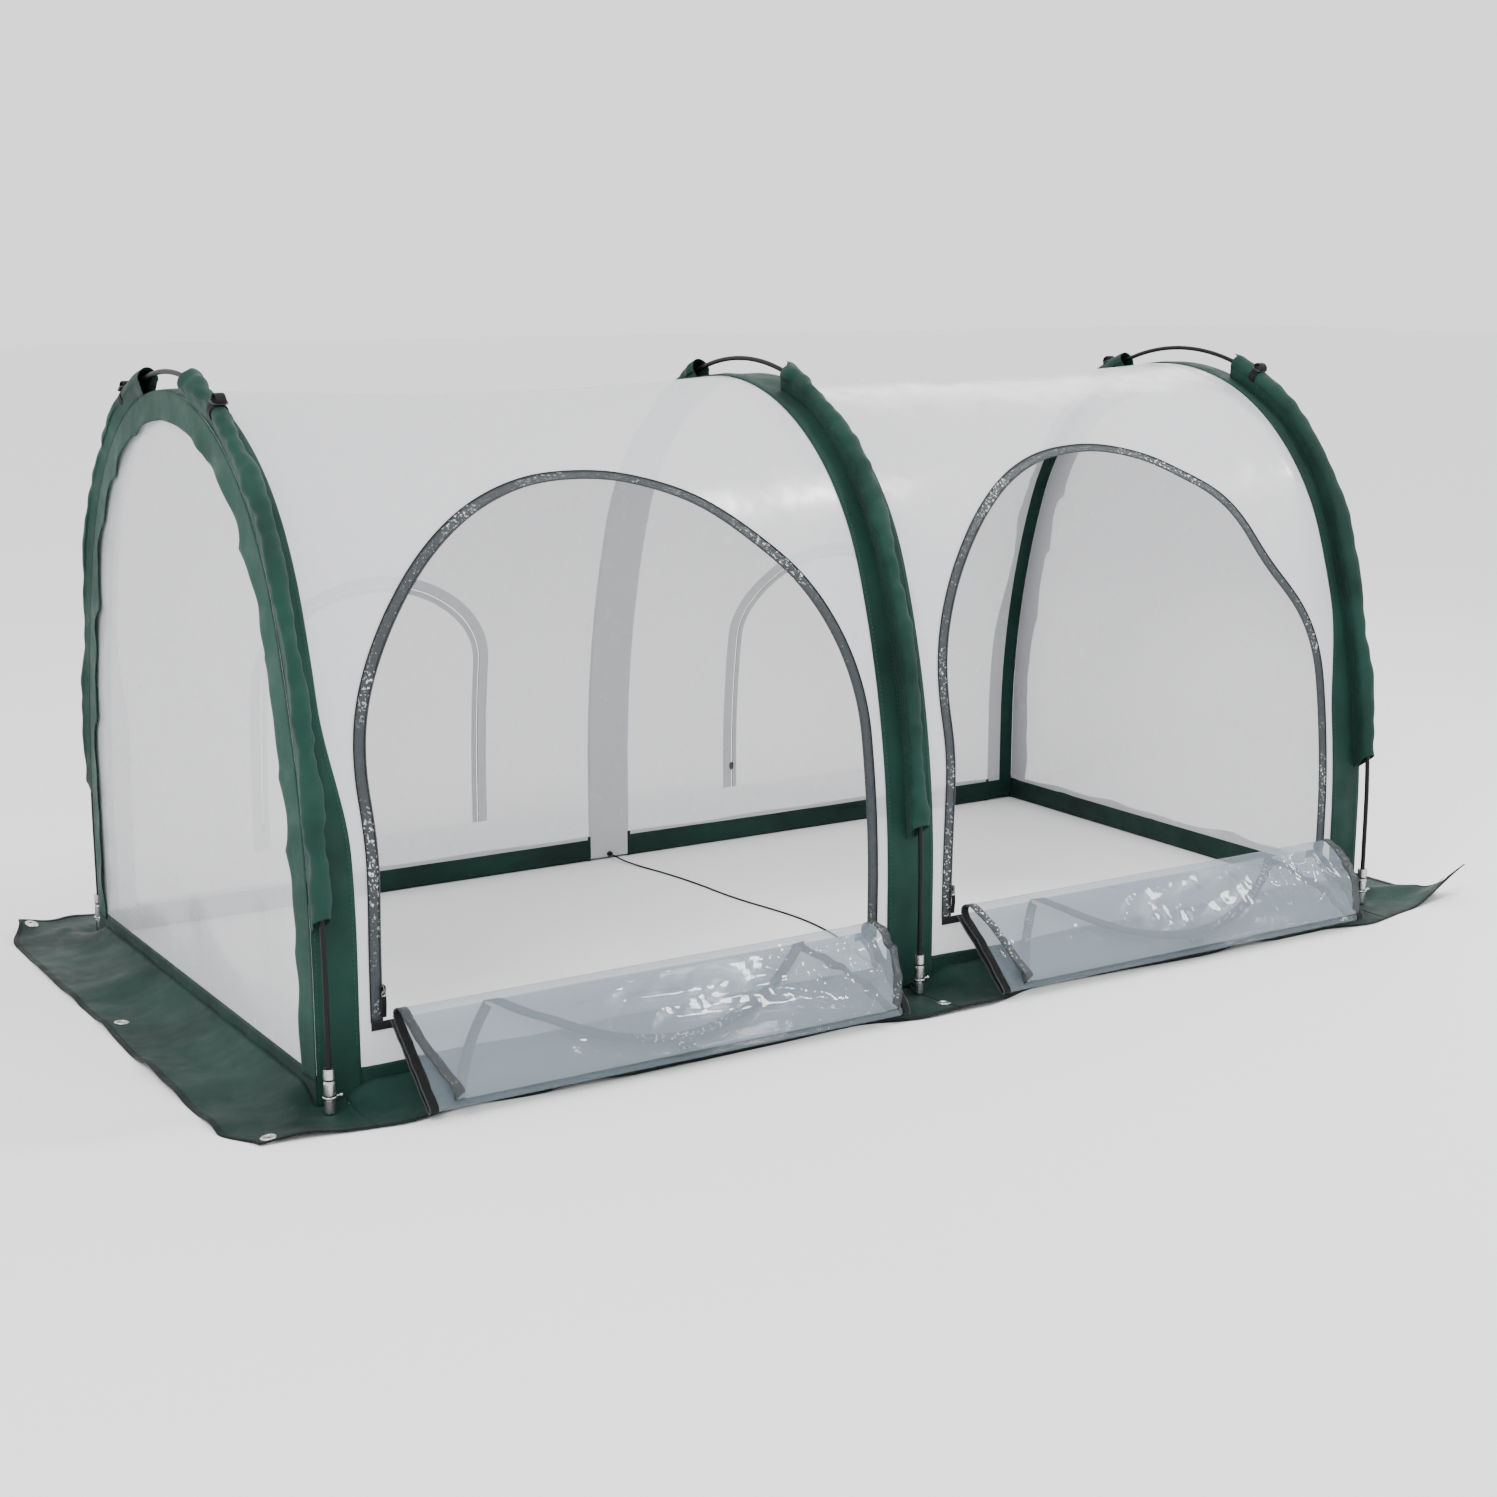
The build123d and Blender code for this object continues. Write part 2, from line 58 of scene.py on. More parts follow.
SIDE_R = (HALF_SPAN - CROWN_R * math.cos(TURN)) / (1 - math.cos(TURN))
CROWN_Z = LEG_TOP + (SIDE_R - CROWN_R) * math.sin(TURN)
CROWN_LENGTH = CROWN_R * (math.pi / 2 - TURN)
SIDE_LENGTH = SIDE_R * TURN
FOOT = CROWN_LENGTH + SIDE_LENGTH + LEG_TOP     # along the rod, from the apex to the ground
COVER = 0.024                                   # from the rod's centre line in to the cover
FABRIC = 0.001
FILM_IN = 0.0256                                # the film passes just under the bands
END_X = 0.906
END_BAND = 0.060
MID_BAND = 0.040
STRIP_TOP = 0.045
WALL_Y = 0.451
FLAP_Y = 0.586
FLAP_X = 1.041
FLAP_SPLIT = 0.870
FLAP_THICK = 0.0012
DOOR_X = 0.445
DOOR_HALF = {"front": 0.370, "back": 0.190}
SILL = 0.100
JAMB = 0.380
DOOR_TOP = {"front": 0.750, "back": 0.525}
TAPE = 0.017                                    # with the margin of film bonded along the tape
FALL = math.radians(40)
FOLD_REACH = (0.0, 0.143, 0.0, 0.143, 0.011, 0.138)     # of each fold, down the pile from the sill
LAYER_HEIGHTS = (0.0, 0.008, 0.034, 0.016, 0.025)       # the door's top is tucked in under its middle
PANEL_STARTS = np.concatenate([[0], np.cumsum(np.abs(np.diff(FOLD_REACH)))])
PANEL_EDGE = 0.008
SILL_PIVOT = np.array((0.0, -0.453, 0.101))
SIDES = {"left": -1, "right": 1}
FACES = {"front": -1, "back": 1}
ARCHES = {"left": -ARCH_X, "middle": 0.0, "right": ARCH_X}
ARCH_BODY = {"left": "left_end", "middle": "middle", "right": "right_end"}


# --- shapes ---------------------------------------------------------------------------------------
def waves(points, length, seed, count=7):
    """Smooth unevenness, mostly within -1 to 1, of about that wavelength, at points (..., k)."""
    rng = np.random.default_rng(seed)
    total = np.zeros(points.shape[:-1])
    for _ in range(count):
        way = rng.normal(size=points.shape[-1])
        way /= np.linalg.norm(way)
        turns = 2 * math.pi / length * rng.uniform(0.6, 1.5)
        total += np.sin(points @ way * turns + rng.uniform(0, 2 * math.pi))
    return total / math.sqrt(1.2 * count)


def ease(t):
    """0 up to t = 0, 1 from t = 1, and smooth between."""
    t = np.clip(t, 0, 1)
    return t * t * (3 - 2 * t)


def grid(*axes):
    return np.meshgrid(*axes, indexing="ij")


def bump_at(t, centre, width):
    return np.exp(-(((t - centre) / width) ** 2))


def arch(u, inset=0.0):
    """y, z and the outward normal's y, z at arc length u back from the rod's apex, set in by inset."""
    s = np.abs(u)
    sign = np.where(np.asarray(u) < 0, -1.0, 1.0)
    angle = np.where(s <= CROWN_LENGTH, math.pi / 2 - s / CROWN_R, TURN - (s - CROWN_LENGTH) / SIDE_R)
    angle = np.where(s > CROWN_LENGTH + SIDE_LENGTH, 0, angle)
    c, n = np.cos(angle), np.sin(angle)
    on_crown = s <= CROWN_LENGTH
    y = np.where(on_crown, CROWN_R * c, HALF_SPAN - SIDE_R + SIDE_R * c)
    z = np.where(on_crown, CROWN_Z + CROWN_R * n, LEG_TOP + SIDE_R * n)
    z = z - np.maximum(0, s - CROWN_LENGTH - SIDE_LENGTH)
    return sign * (y - inset * c), z - inset * n, sign * c, n


_S = np.linspace(0, FOOT, 3000)


def arc_at(z, inset=0.0):
    """Arc length from the apex at which the line set in by inset is at height z."""
    return np.interp(-np.asarray(z, float), -arch(_S, inset)[1], _S)


def over_arch(x, u, inset):
    """Points at x along the tunnel and u round the arch line set in by inset."""
    x, u, inset = np.broadcast_arrays(x, u, inset)
    y, z, _, _ = arch(u, inset)
    return np.stack([x, y, z], -1)


def on_film(x, u, lift=0.0):
    """Points on the cover's film, which sags a little between the arches."""
    x, u = np.broadcast_arrays(np.asarray(x, float), np.asarray(u, float))
    t = np.clip((np.abs(x) - MID_BAND) / (END_X - END_BAND - MID_BAND), 0, 1)
    slack = 4 * t * (1 - t)
    dip = slack * (0.003 + 0.011 * np.exp(-((u / 0.30) ** 2)))
    dip = dip + slack**0.5 * 0.0011 * waves(np.stack([x, u * 0.5], -1), 0.16, 11)
    return over_arch(x, u, FILM_IN + dip - lift)


def film_out(x, u):
    way = on_film(x, u, 0.002) - on_film(x, u, 0.0)
    return way / np.linalg.norm(way, axis=-1, keepdims=True)


def along(points):
    """Running length of a line of points."""
    steps = np.linalg.norm(np.diff(points, axis=0), axis=-1)
    return np.concatenate([[0.0], np.cumsum(steps)])


def resample(points, count):
    length = along(points)
    at = np.linspace(0, length[-1], count)
    return np.stack([np.interp(at, length, points[:, k]) for k in range(points.shape[1])], -1)


def left_of(points):
    """Unit normals on the left of a line in a plane."""
    way = np.gradient(points, axis=0)
    way /= np.linalg.norm(way, axis=-1, keepdims=True)
    return np.stack([-way[:, 1], way[:, 0]], -1)


# Each place where a doorway's edge sags: how deep, where along it and how wide
SLUMPS = {
    "back": ((0.004, 0.62, 0.08), (0.003, 0.35, 0.05)),
    "front left": ((0.005, 0.12, 0.05), (0.004, 0.66, 0.04), (-0.004, 0.22, 0.05)),
    "front right": ((0.012, 0.14, 0.06), (0.026, 0.72, 0.055), (0.006, 0.60, 0.03)),
}


def slump(face, side, t):
    """How far a doorway's edge sags inwards, t from its left foot to its right foot."""
    places = SLUMPS["back" if face == "back" else "front left" if side < 0 else "front right"]
    return sum(deep * bump_at(t, centre, wide) for deep, centre, wide in places)


def doorway(face, side, grow=0.0, count=181):
    """(x, u) round a doorway, from its left foot up over to its right foot, moved outwards by grow."""
    jamb = np.linspace(SILL, JAMB, 80)[:-1]
    turn = np.linspace(math.pi, 0, 500)
    half, rise = DOOR_HALF[face], DOOR_TOP[face] - JAMB
    x = np.concatenate([0 * jamb - half, half * np.cos(turn), 0 * jamb + half])
    z = np.concatenate([jamb, JAMB + rise * np.sin(turn), jamb[::-1]])
    line = resample(np.stack([x, -arc_at(z, FILM_IN)], -1), count)
    t = np.linspace(0, 1, count)
    line = line + left_of(line) * (grow - slump(face, side, t))[:, None]
    line[[0, -1], 1] = -arc_at(SILL, FILM_IN)
    return np.stack([line[:, 0] + side * DOOR_X, line[:, 1] * -FACES[face]], -1)


# --- meshes ---------------------------------------------------------------------------------------
def patch(points, wrap=False, slot=0, caps=False):
    """A grid (n, m, 3) as vertices, faces and metric UVs.  wrap joins the last row to the first."""
    n, m, _ = points.shape
    index = np.arange(n * m).reshape(n, m)
    rows = np.concatenate([points, points[:1]]) if wrap else points
    if wrap:
        index = np.concatenate([index, index[:1]])
    a = np.concatenate([[0], np.cumsum(np.linalg.norm(np.diff(rows, axis=0), axis=-1).mean(1))])
    b = np.concatenate([[0], np.cumsum(np.linalg.norm(np.diff(points, axis=1), axis=-1).mean(0))])
    quads = np.stack([index[:-1, :-1], index[1:, :-1], index[1:, 1:], index[:-1, 1:]], -1).reshape(-1, 4)
    uv = np.stack(grid(a, b), -1)
    corners = np.stack([uv[:-1, :-1], uv[1:, :-1], uv[1:, 1:], uv[:-1, 1:]], -2).reshape(-1, 4, 2)
    faces, uvs = quads.tolist(), corners.tolist()
    if caps:
        for row in (index[:-1, 0], index[:-1, -1][::-1]):
            faces.append(row.tolist())
            uvs.append([[0.0, 0.0]] * len(row))
    return points.reshape(-1, 3), faces, uvs, slot


def sweep(path, outward, profile, slot=0, caps=True):
    """A closed profile (k, 2) of (outward, sideways), or one per point (k, n, 2), carried along a path."""
    path, outward = np.asarray(path, float), np.asarray(outward, float)
    way = np.gradient(path, axis=0)
    way /= np.linalg.norm(way, axis=-1, keepdims=True)
    outward = outward - way * (outward * way).sum(-1, keepdims=True)
    outward /= np.linalg.norm(outward, axis=-1, keepdims=True)
    across = np.cross(way, outward)
    profile = np.asarray(profile, float)
    if profile.ndim == 2:
        profile = np.repeat(profile[:, None], len(path), 1)
    points = path + profile[..., :1] * outward + profile[..., 1:] * across
    return patch(points, wrap=True, slot=slot, caps=caps)


def ring_profile(radius, count=8):
    t = np.linspace(0, 2 * math.pi, count, endpoint=False)
    return np.stack([radius * np.cos(t), radius * np.sin(t)], -1)


def strap_profile(width, thick):
    """A flat strap's section with rounded edges."""
    t = np.linspace(0, 2 * math.pi, 16, endpoint=False)
    c, s = np.cos(t), np.sin(t)
    return np.stack([thick / 2 * np.sign(c) * np.abs(c) ** 0.5, width / 2 * np.sign(s) * np.abs(s) ** 0.5],
                    -1)


def piece(name, patches, materials, body, thick=0.0, merge=0.0, squash=None):
    """One object from patches, riding on a body, with real thickness if given."""
    vertices, faces, uvs, slots, start = [], [], [], [], 0
    for points, quads, corners, number in patches:
        vertices.extend(points.tolist())
        faces.extend([[i + start for i in f] for f in quads])
        uvs.extend(corners)
        slots.extend([number] * len(quads))
        start += len(points)
    mesh = bpy.data.meshes.new(name)
    mesh.from_pydata(vertices, [], faces)
    layer = mesh.uv_layers.new(name="UVMap")
    layer.data.foreach_set("uv", np.concatenate([np.array(c, float).ravel() for c in uvs]))
    mesh.polygons.foreach_set("material_index", slots)
    for m in materials if isinstance(materials, (list, tuple)) else [materials]:
        mesh.materials.append(m)
    if merge:
        work = bmesh.new()
        work.from_mesh(mesh)
        bmesh.ops.remove_doubles(work, verts=work.verts, dist=merge)
        bmesh.ops.recalc_face_normals(work, faces=work.faces)
        work.to_mesh(mesh)
        work.free()
    mesh.polygons.foreach_set("use_smooth", [True] * len(mesh.polygons))
    obj = bpy.data.objects.new(name, mesh)
    bpy.context.scene.collection.objects.link(obj)
    if thick:
        solid = obj.modifiers.new("thickness", "SOLIDIFY")
        solid.thickness = thick
        solid.offset = 0
        apply_all(obj)
    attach(obj, body)
    if squash:
        crumple(obj, *squash)
    return obj


def apply_all(obj):
    """Apply the object's modifiers."""
    shown = obj.evaluated_get(bpy.context.evaluated_depsgraph_get())
    made = bpy.data.meshes.new_from_object(shown)
    obj.modifiers.clear()
    obj.data = made


def crumple(obj, name, kind):
    """Give the object its own copy of its mesh; nothing is squashed here, and name and kind are not used."""
    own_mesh(obj)


# --- materials ------------------------------------------------------------------------------------
def srgb(r, g, b):
    """A linear colour from 0-255 screen values."""
    return tuple((v / 255 / 12.92) if v <= 10 else ((v / 255 + 0.055) / 1.055) ** 2.4 for v in (r, g,
                                                                                                b)) + (1.0,)


WAVE_SCALE = 0.314          # scale of a wave texture whose bands are 1 m apart


class Nodes:
    """Short way to wire one material's nodes."""

    def __init__(self, name):
        self.material = bpy.data.materials.new(name)
        self.material.use_nodes = True
        self.tree = self.material.node_tree
        self.shader = self.tree.nodes["Principled BSDF"]

    def add(self, kind, inputs=None, **settings):
        made = self.tree.nodes.new(kind)
        for key, value in settings.items():
            setattr(made, key, value)
        for key, value in (inputs or {}).items():
            self.put(made.inputs[key], value)
        return made

    def put(self, socket, value):
        if isinstance(value, bpy.types.NodeSocket):
            self.tree.links.new(value, socket)
        else:
            socket.default_value = value

    def set(self, **values):
        for key, value in values.items():
            self.put(self.shader.inputs[key.replace("_", " ")], value)

    def noise(self, scale, detail=3.0, rough=0.55, stretch=None):
        source = self.add("ShaderNodeTexCoord").outputs["Object"]
        if stretch:
            source = self.add("ShaderNodeMapping", {"Vector": source, "Scale": stretch}).outputs["Vector"]
        made = self.add("ShaderNodeTexNoise",
                        {"Vector": source, "Scale": scale, "Detail": detail, "Roughness": rough})
        return made.outputs["Fac"]

    def band(self, across, period):
        source = self.add("ShaderNodeTexCoord").outputs["UV"]
        made = self.add("ShaderNodeTexWave", {"Vector": source, "Scale": WAVE_SCALE / period},
                        wave_type="BANDS")
        made.bands_direction = across
        return made.outputs["Fac"]

    def math(self, operation, a, b=0.5):
        made = self.add("ShaderNodeMath", operation=operation)
        self.put(made.inputs[0], a)
        self.put(made.inputs[1], b)
        return made.outputs[0]

    def spread(self, value, low, high, start=0.3, end=0.7):
        made = self.add("ShaderNodeMapRange", {"Value": value, "From Min": start, "From Max": end})
        made.inputs["To Min"].default_value = low
        made.inputs["To Max"].default_value = high
        return made.outputs["Result"]

    def mix(self, amount, a, b):
        made = self.add("ShaderNodeMix", data_type="RGBA")
        self.put(made.inputs["Factor"], amount)
        self.put(made.inputs[6], a)
        self.put(made.inputs[7], b)
        return made.outputs[2]

    def bump(self, height, depth, strength=1.0, under=None):
        made = self.add("ShaderNodeBump", {"Height": height, "Distance": depth, "Strength": strength})
        if under is not None:
            self.put(made.inputs["Normal"], under)
        return made.outputs["Normal"]


def cloth(name, dark, light, thread=0.0009, rough=(0.5, 0.72), crease=0.004):
    """Plain woven polyester: threads both ways, soft creases, and slightly worn colour."""
    k = Nodes(name)
    weave = k.math("MULTIPLY", k.band("X", thread), k.band("Y", thread))
    crumples = k.noise(9.0, 4.0, 0.6)
    tone = k.math("MULTIPLY", k.noise(5.0, 3.0), 0.75)
    tone = k.math("ADD", tone, k.math("MULTIPLY", weave, 0.25))
    k.set(Base_Color=k.mix(k.spread(tone, 0.0, 1.0, 0.25, 0.62), dark, light))
    k.set(Roughness=k.spread(k.noise(30.0, 2.0), rough[0], rough[1]))
    k.set(Sheen_Weight=0.04, Sheen_Roughness=0.45, Specular_IOR_Level=0.14)
    soft = k.bump(crumples, crease, 0.7)
    k.set(Normal=k.bump(weave, 0.00025, 0.6, soft))
    return k.material


def film(name, colour, alpha, rough, crease, scale):
    """Thin clear plastic: smooth, slightly milky, with slack creases that catch the light."""
    k = Nodes(name)
    wide = k.noise(scale, 3.0, 0.5)
    fine = k.noise(scale * 7, 2.0, 0.5)
    tone = k.spread(k.noise(3.0, 2.0), 0.97, 1.0)
    k.set(Base_Color=k.mix(tone, tuple(0.9 * c for c in colour[:3]) + (1.0,), colour))
    k.set(Roughness=k.spread(fine, rough * 0.7, rough * 1.5))
    k.set(Alpha=alpha, Specular_IOR_Level=0.55, IOR=1.5)
    k.set(Normal=k.bump(fine, crease * 0.12, 0.5, k.bump(wide, crease, 0.8)))
    return k.material


def metal(name, colour, rough):
    k = Nodes(name)
    worn = k.noise(260.0, 3.0, 0.6, stretch=(1, 1, 0.15))
    spots = k.noise(40.0, 3.0)
    k.set(Base_Color=k.mix(k.spread(spots, 0.0, 1.0), tuple(0.72 * c for c in colour[:3]) + (1.0,), colour))
    k.set(Roughness=k.spread(worn, rough * 0.7, rough * 1.5), Metallic=1.0)
    k.set(Normal=k.bump(worn, 0.0002, 0.5))
    return k.material


def plain(name, colour, rough, grain=300.0, gloss=0.5):
    """Moulded plastic or rod surface with fine grain."""
    k = Nodes(name)
    grit = k.noise(grain, 3.0, 0.6)
    tone = k.spread(k.noise(12.0, 3.0), 0.0, 1.0)
    k.set(Base_Color=k.mix(tone, tuple(0.75 * c for c in colour[:3]) + (1.0,), colour))
    k.set(Roughness=k.spread(grit, rough * 0.8, rough * 1.25), Specular_IOR_Level=gloss)
    k.set(Normal=k.bump(grit, 0.0002, 0.6))
    return k.material


# pale colour of the painted highlights: specks painted into glazed tape where light would glint off crinkled
# film
PAINTED_GLINT = srgb(200, 204, 206)


def webbing(name, colour, rib=0.0016, glazed=0.0):
    """Ribbed tape; glazed is how much of it has a crinkled skin of clear film, and a glazed tape also has
    pale specks painted into its colour as painted glints.
    """
    k = Nodes(name)
    ribs = k.math("MULTIPLY", k.band("X", rib), k.band("Y", rib * 1.3))
    shade = k.mix(ribs, tuple(0.6 * c for c in colour[:3]) + (1.0,), colour)
    k.set(Roughness=k.spread(k.noise(60.0), 0.55, 0.8), Sheen_Weight=0.03, Specular_IOR_Level=0.2)
    if glazed:
        # painted highlight: pale specks, clumped in patches, mixed into the base colour to stand in for
        # glints off the crinkled film
        painted_glint_specks = k.spread(k.noise(240.0, 2.0, 0.6), 0.0, 1.0, 0.58, 0.63)
        shade = k.mix(k.math("MULTIPLY", painted_glint_specks, k.spread(k.noise(6.0, 2.0), 0.0, 1.0, 0.50, 0.58)), shade,
                      PAINTED_GLINT)
        k.set(Coat_Weight=glazed, Coat_Roughness=0.08, Coat_IOR=1.45)
        k.set(Coat_Normal=k.bump(k.noise(110.0, 2.0, 0.6), 0.0045, 1.0))
    k.set(Base_Color=shade)
    k.set(Normal=k.bump(ribs, 0.0004, 0.8))
    return k.material


GREEN = cloth("green_cloth", srgb(9, 34, 28), srgb(26, 62, 53))
GREEN_SLEEVE = cloth("green_sleeve", srgb(8, 32, 27), srgb(28, 66, 56), crease=0.006)
GREEN_TRIM = cloth("green_trim", srgb(11, 40, 33), srgb(30, 70, 59), crease=0.005)
GREEN_SKIRT = cloth("green_skirt", srgb(8, 28, 24), srgb(24, 56, 49), rough=(0.42, 0.6), crease=0.006)
HEM = cloth("hem_cloth", srgb(5, 16, 14), srgb(14, 34, 30))
THREAD = plain("thread", srgb(34, 72, 62), 0.7)
FILM = film("cover_film", srgb(207, 208, 212), 0.72, 0.20, 0.006, 4.5)
DOOR_FILM = film("door_film", srgb(140, 153, 164), 0.27, 0.05, 0.003, 7.0)
DOOR_FILM_TOP = film("door_film_top", srgb(140, 153, 164), 0.42, 0.05, 0.003, 7.0)
BACK_FILM = film("back_door_film", srgb(207, 208, 212), 0.66, 0.20, 0.006, 5.0)
# the zip tape's colour carries painted glint specks
ZIP = webbing("zip_tape_cloth_painted_glints", srgb(58, 65, 68), glazed=0.5)
ZIP_DARK = webbing("zip_tape_dark", srgb(26, 29, 31))
DOOR_TAPE = webbing("door_tape_cloth", srgb(16, 18, 20))
COIL = plain("zip_coil", srgb(40, 44, 47), 0.28, 900.0)
ZIP_METAL = metal("zip_slider_metal", srgb(118, 120, 122), 0.3)
STEEL = metal("tip_nickel", srgb(196, 198, 196), 0.26)
WIRE = metal("ring_wire", srgb(180, 182, 182), 0.22)
FERRULE = metal("ferrule", srgb(150, 152, 152), 0.35)
EYELET = metal("eyelet", srgb(214, 214, 210), 0.24)
ROD = plain("fibreglass_rod", srgb(13, 14, 14), 0.42, 500.0, gloss=0.2)
ELASTIC = webbing("elastic", srgb(34, 34, 36), 0.0006)
BLACK = webbing("black_webbing", srgb(12, 13, 14))
CORD = webbing("black_cord", srgb(40, 40, 42), 0.0008)
BUCKLE = plain("buckle_plastic", srgb(24, 25, 27), 0.35)

# --- camera, stage and light ------------------------------------------------------------------------
CAMERA_PLACE = (-1.887, -3.011, 1.021)
CAMERA_DIP = 11.8
CAMERA_TURN = -32.2
FLOOR_REACH = 30
SKY_STRENGTH = 1.6
camera = bpy.data.objects.new("camera", bpy.data.cameras.new("camera"))
bpy.context.scene.collection.objects.link(camera)
camera.location = CAMERA_PLACE
camera.rotation_euler = (math.radians(90 - CAMERA_DIP), 0, math.radians(CAMERA_TURN))
camera.data.lens = 55.0
camera.data.sensor_width = 36.0
bpy.context.scene.camera = camera

floor_mesh = bpy.data.meshes.new("floor")
floor_corners = [(x * FLOOR_REACH, y * FLOOR_REACH, 0) for x, y in ((-1, -1), (1, -1), (1, 1), (-1, 1))]
floor_mesh.from_pydata(floor_corners, [], [(0, 1, 2, 3)])
floor = bpy.data.objects.new("floor", floor_mesh)
bpy.context.scene.collection.objects.link(floor)
pale = Nodes("pale_floor")
pale.set(Base_Color=(0.93, 0.93, 0.93, 1), Roughness=0.9, Specular_IOR_Level=0.1)
floor_mesh.materials.append(pale.material)

world = bpy.data.worlds.new("studio")
world.use_nodes = True
sky = world.node_tree.nodes["Background"].inputs
sky["Color"].default_value = (1.0, 1.0, 1.0, 1.0)
sky["Strength"].default_value = SKY_STRENGTH
bpy.context.scene.world = world


def area_light(name, place, aim, size, power):
    lamp = bpy.data.lights.new(name, "AREA")
    lamp.size = size
    lamp.energy = power
    holder = bpy.data.objects.new(name, lamp)
    bpy.context.scene.collection.objects.link(holder)
    holder.location = place
    holder.rotation_euler = (Vector(aim) - Vector(place)).to_track_quat("-Z", "Y").to_euler()


area_light("key", (-3.0, -2.4, 3.6), (0, 0, 0.3), 1.4, 110)
area_light("rim", (2.8, 2.2, 2.6), (0, 0, 0.4), 1.2, 18)
area_light("glint_left", (1.02, -0.95, 2.3), (-0.4, -0.5, 0.1), 0.35, 24)
area_light("glint_right", (2.45, -0.86, 1.95), (0.45, -0.5, 0.1), 0.35, 16)

# --- the cord between the middle feet ----------------------------------------------------------------
TIE_POINTS = [
    (0, -0.450, 0.009), (0, -0.432, 0.009), (0.005, -0.406, 0.004), (0.015, -0.366, 0.0015),
    (0.027, -0.318, 0.0015), (0.040, -0.268, 0.0015), (0.055, -0.214, 0.0015),
    (0.067, -0.158, 0.0015), (0.073, -0.100, 0.0015), (0.072, -0.042, 0.0015),
    (0.063, 0.016, 0.0015), (0.052, 0.074, 0.0015), (0.045, 0.132, 0.0015),
    (0.043, 0.190, 0.0015), (0.038, 0.248, 0.0015), (0.030, 0.304, 0.0015),
    (0.018, 0.360, 0.0015), (0.006, 0.404, 0.004), (0, 0.432, 0.009), (0, 0.450, 0.009),
]
TIE_DIAMETER = 0.003
tie_curve = bpy.data.curves.new("ground_tie_cord", "CURVE")
tie_curve.dimensions = "3D"
tie_curve.resolution_u = 8
tie_line = tie_curve.splines.new("NURBS")
tie_line.points.add(len(TIE_POINTS) - 1)
for point, place in zip(tie_line.points, TIE_POINTS):
    point.co = (*place, 1.0)
tie_line.order_u = 3
tie_line.use_endpoint_u = True
tie_curve.bevel_depth = TIE_DIAMETER / 2
tie_curve.bevel_resolution = 4
tie_curve.materials.append(CORD)
tie = bpy.data.objects.new("ground_tie_cord", tie_curve)
bpy.context.scene.collection.objects.link(tie)
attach(tie, "middle")
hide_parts("ground_tie")

knots = []
for sign in (-1, 1):
    turn = np.linspace(0, 1, 60)
    twist = turn * 2.5 * 2 * math.pi
    path = np.stack([0.0032 * np.cos(twist), sign * (0.4435 + 0.009 * turn), 0.009 + 0.0032 * np.sin(twist)],
                    -1)
    out = np.stack([np.cos(twist), 0 * turn, np.sin(twist)], -1)
    knots.append(sweep(path, out, ring_profile(0.0015)))
    eye = np.linspace(0, 2 * math.pi, 41)
    path = np.stack([0 * eye, sign * (0.4600 + 0.0062 * np.cos(eye)), 0.0095 + 0.0045 * np.sin(eye)], -1)
    out = np.stack([0 * eye, sign * np.cos(eye), np.sin(eye)], -1)
    knots.append(sweep(path, out, ring_profile(0.0015)))
tie_knots = piece("ground_tie_knots", knots, CORD, "middle")


# --- the cover's film --------------------------------------------------------------------------------
def cover_bay(name):
    """Both walls of one bay as one sheet, with its two doorways left open."""
    side = SIDES[name]
    rim = sorted((side * (MID_BAND - 0.004), side * (END_X - 0.6 * END_BAND + 0.006)))
    foot_u = float(arc_at(STRIP_TOP - 0.006, FILM_IN))
    sill_u = float(arc_at(SILL, FILM_IN))
    jamb_u = float(arc_at(JAMB, FILM_IN))
    count = 181
    patches = []
    for face, sign in FACES.items():
        inner = doorway(face, side, 0.001, count)
        t = np.linspace(0, 1, count)
        at_jamb = float(np.interp(-jamb_u, -np.abs(inner[: count // 2, 1]), t[: count // 2]))
        corner = 0.36
        knots_t = [0, at_jamb, corner, 0.5, 1 - corner, 1 - at_jamb, 1]
        middle = sum(rim) / 2
        outer_x = np.interp(t, knots_t, [rim[0], rim[0], rim[0], middle, rim[1], rim[1], rim[1]])
        outer_u = np.interp(t, knots_t, [sill_u, jamb_u, 0, 0, 0, jamb_u, sill_u])
        outer = np.stack([outer_x, sign * outer_u], -1)
        share = np.linspace(0, 1, 25)[None, :, None]
        flat = inner[:, None] * (1 - share) + outer[:, None] * share
        patches.append(patch(on_film(flat[..., 0], flat[..., 1])))
        low_x = np.concatenate([flat[0, ::-1, 0], np.linspace(inner[0, 0], inner[-1, 0], 50)[1:-1],
                                flat[-1, :, 0]])
        low_u = sign * np.linspace(sill_u, foot_u, 5)
        patches.append(patch(on_film(*grid(low_x, low_u))))
    made = piece(f"cover_film_{name}", patches, FILM, "middle", merge=0.0002,
                 squash=(name, "bay"))
    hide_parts(f"bay_film_{name}")


def middle_film():
    """The film goes on under the middle band, so that the band shows only through it from inside."""
    x = np.linspace(-MID_BAND + 0.003, MID_BAND - 0.003, 7)
    u = np.linspace(-1, 1, 200) * float(arc_at(0.004, COVER))
    uu, xx = grid(u, x)
    made = piece("cover_film_middle", [patch(over_arch(xx, uu, FILM_IN + 0.0006))], FILM, "middle")


def notches(u, seed):
    """The trim's loose edge comes out slowly and goes back in sharply, at uneven places round the arch."""
    rng = np.random.default_rng(seed)
    places = np.cumsum(rng.uniform(0.085, 0.20, 15)) - 1.05
    total = -0.003 + 0 * u
    for place, deep in zip(places, rng.uniform(0.004, 0.015, 15)):
        total += deep * np.where(u < place, np.exp((u - place) / 0.040), np.exp((place - u) / 0.008))
    return total


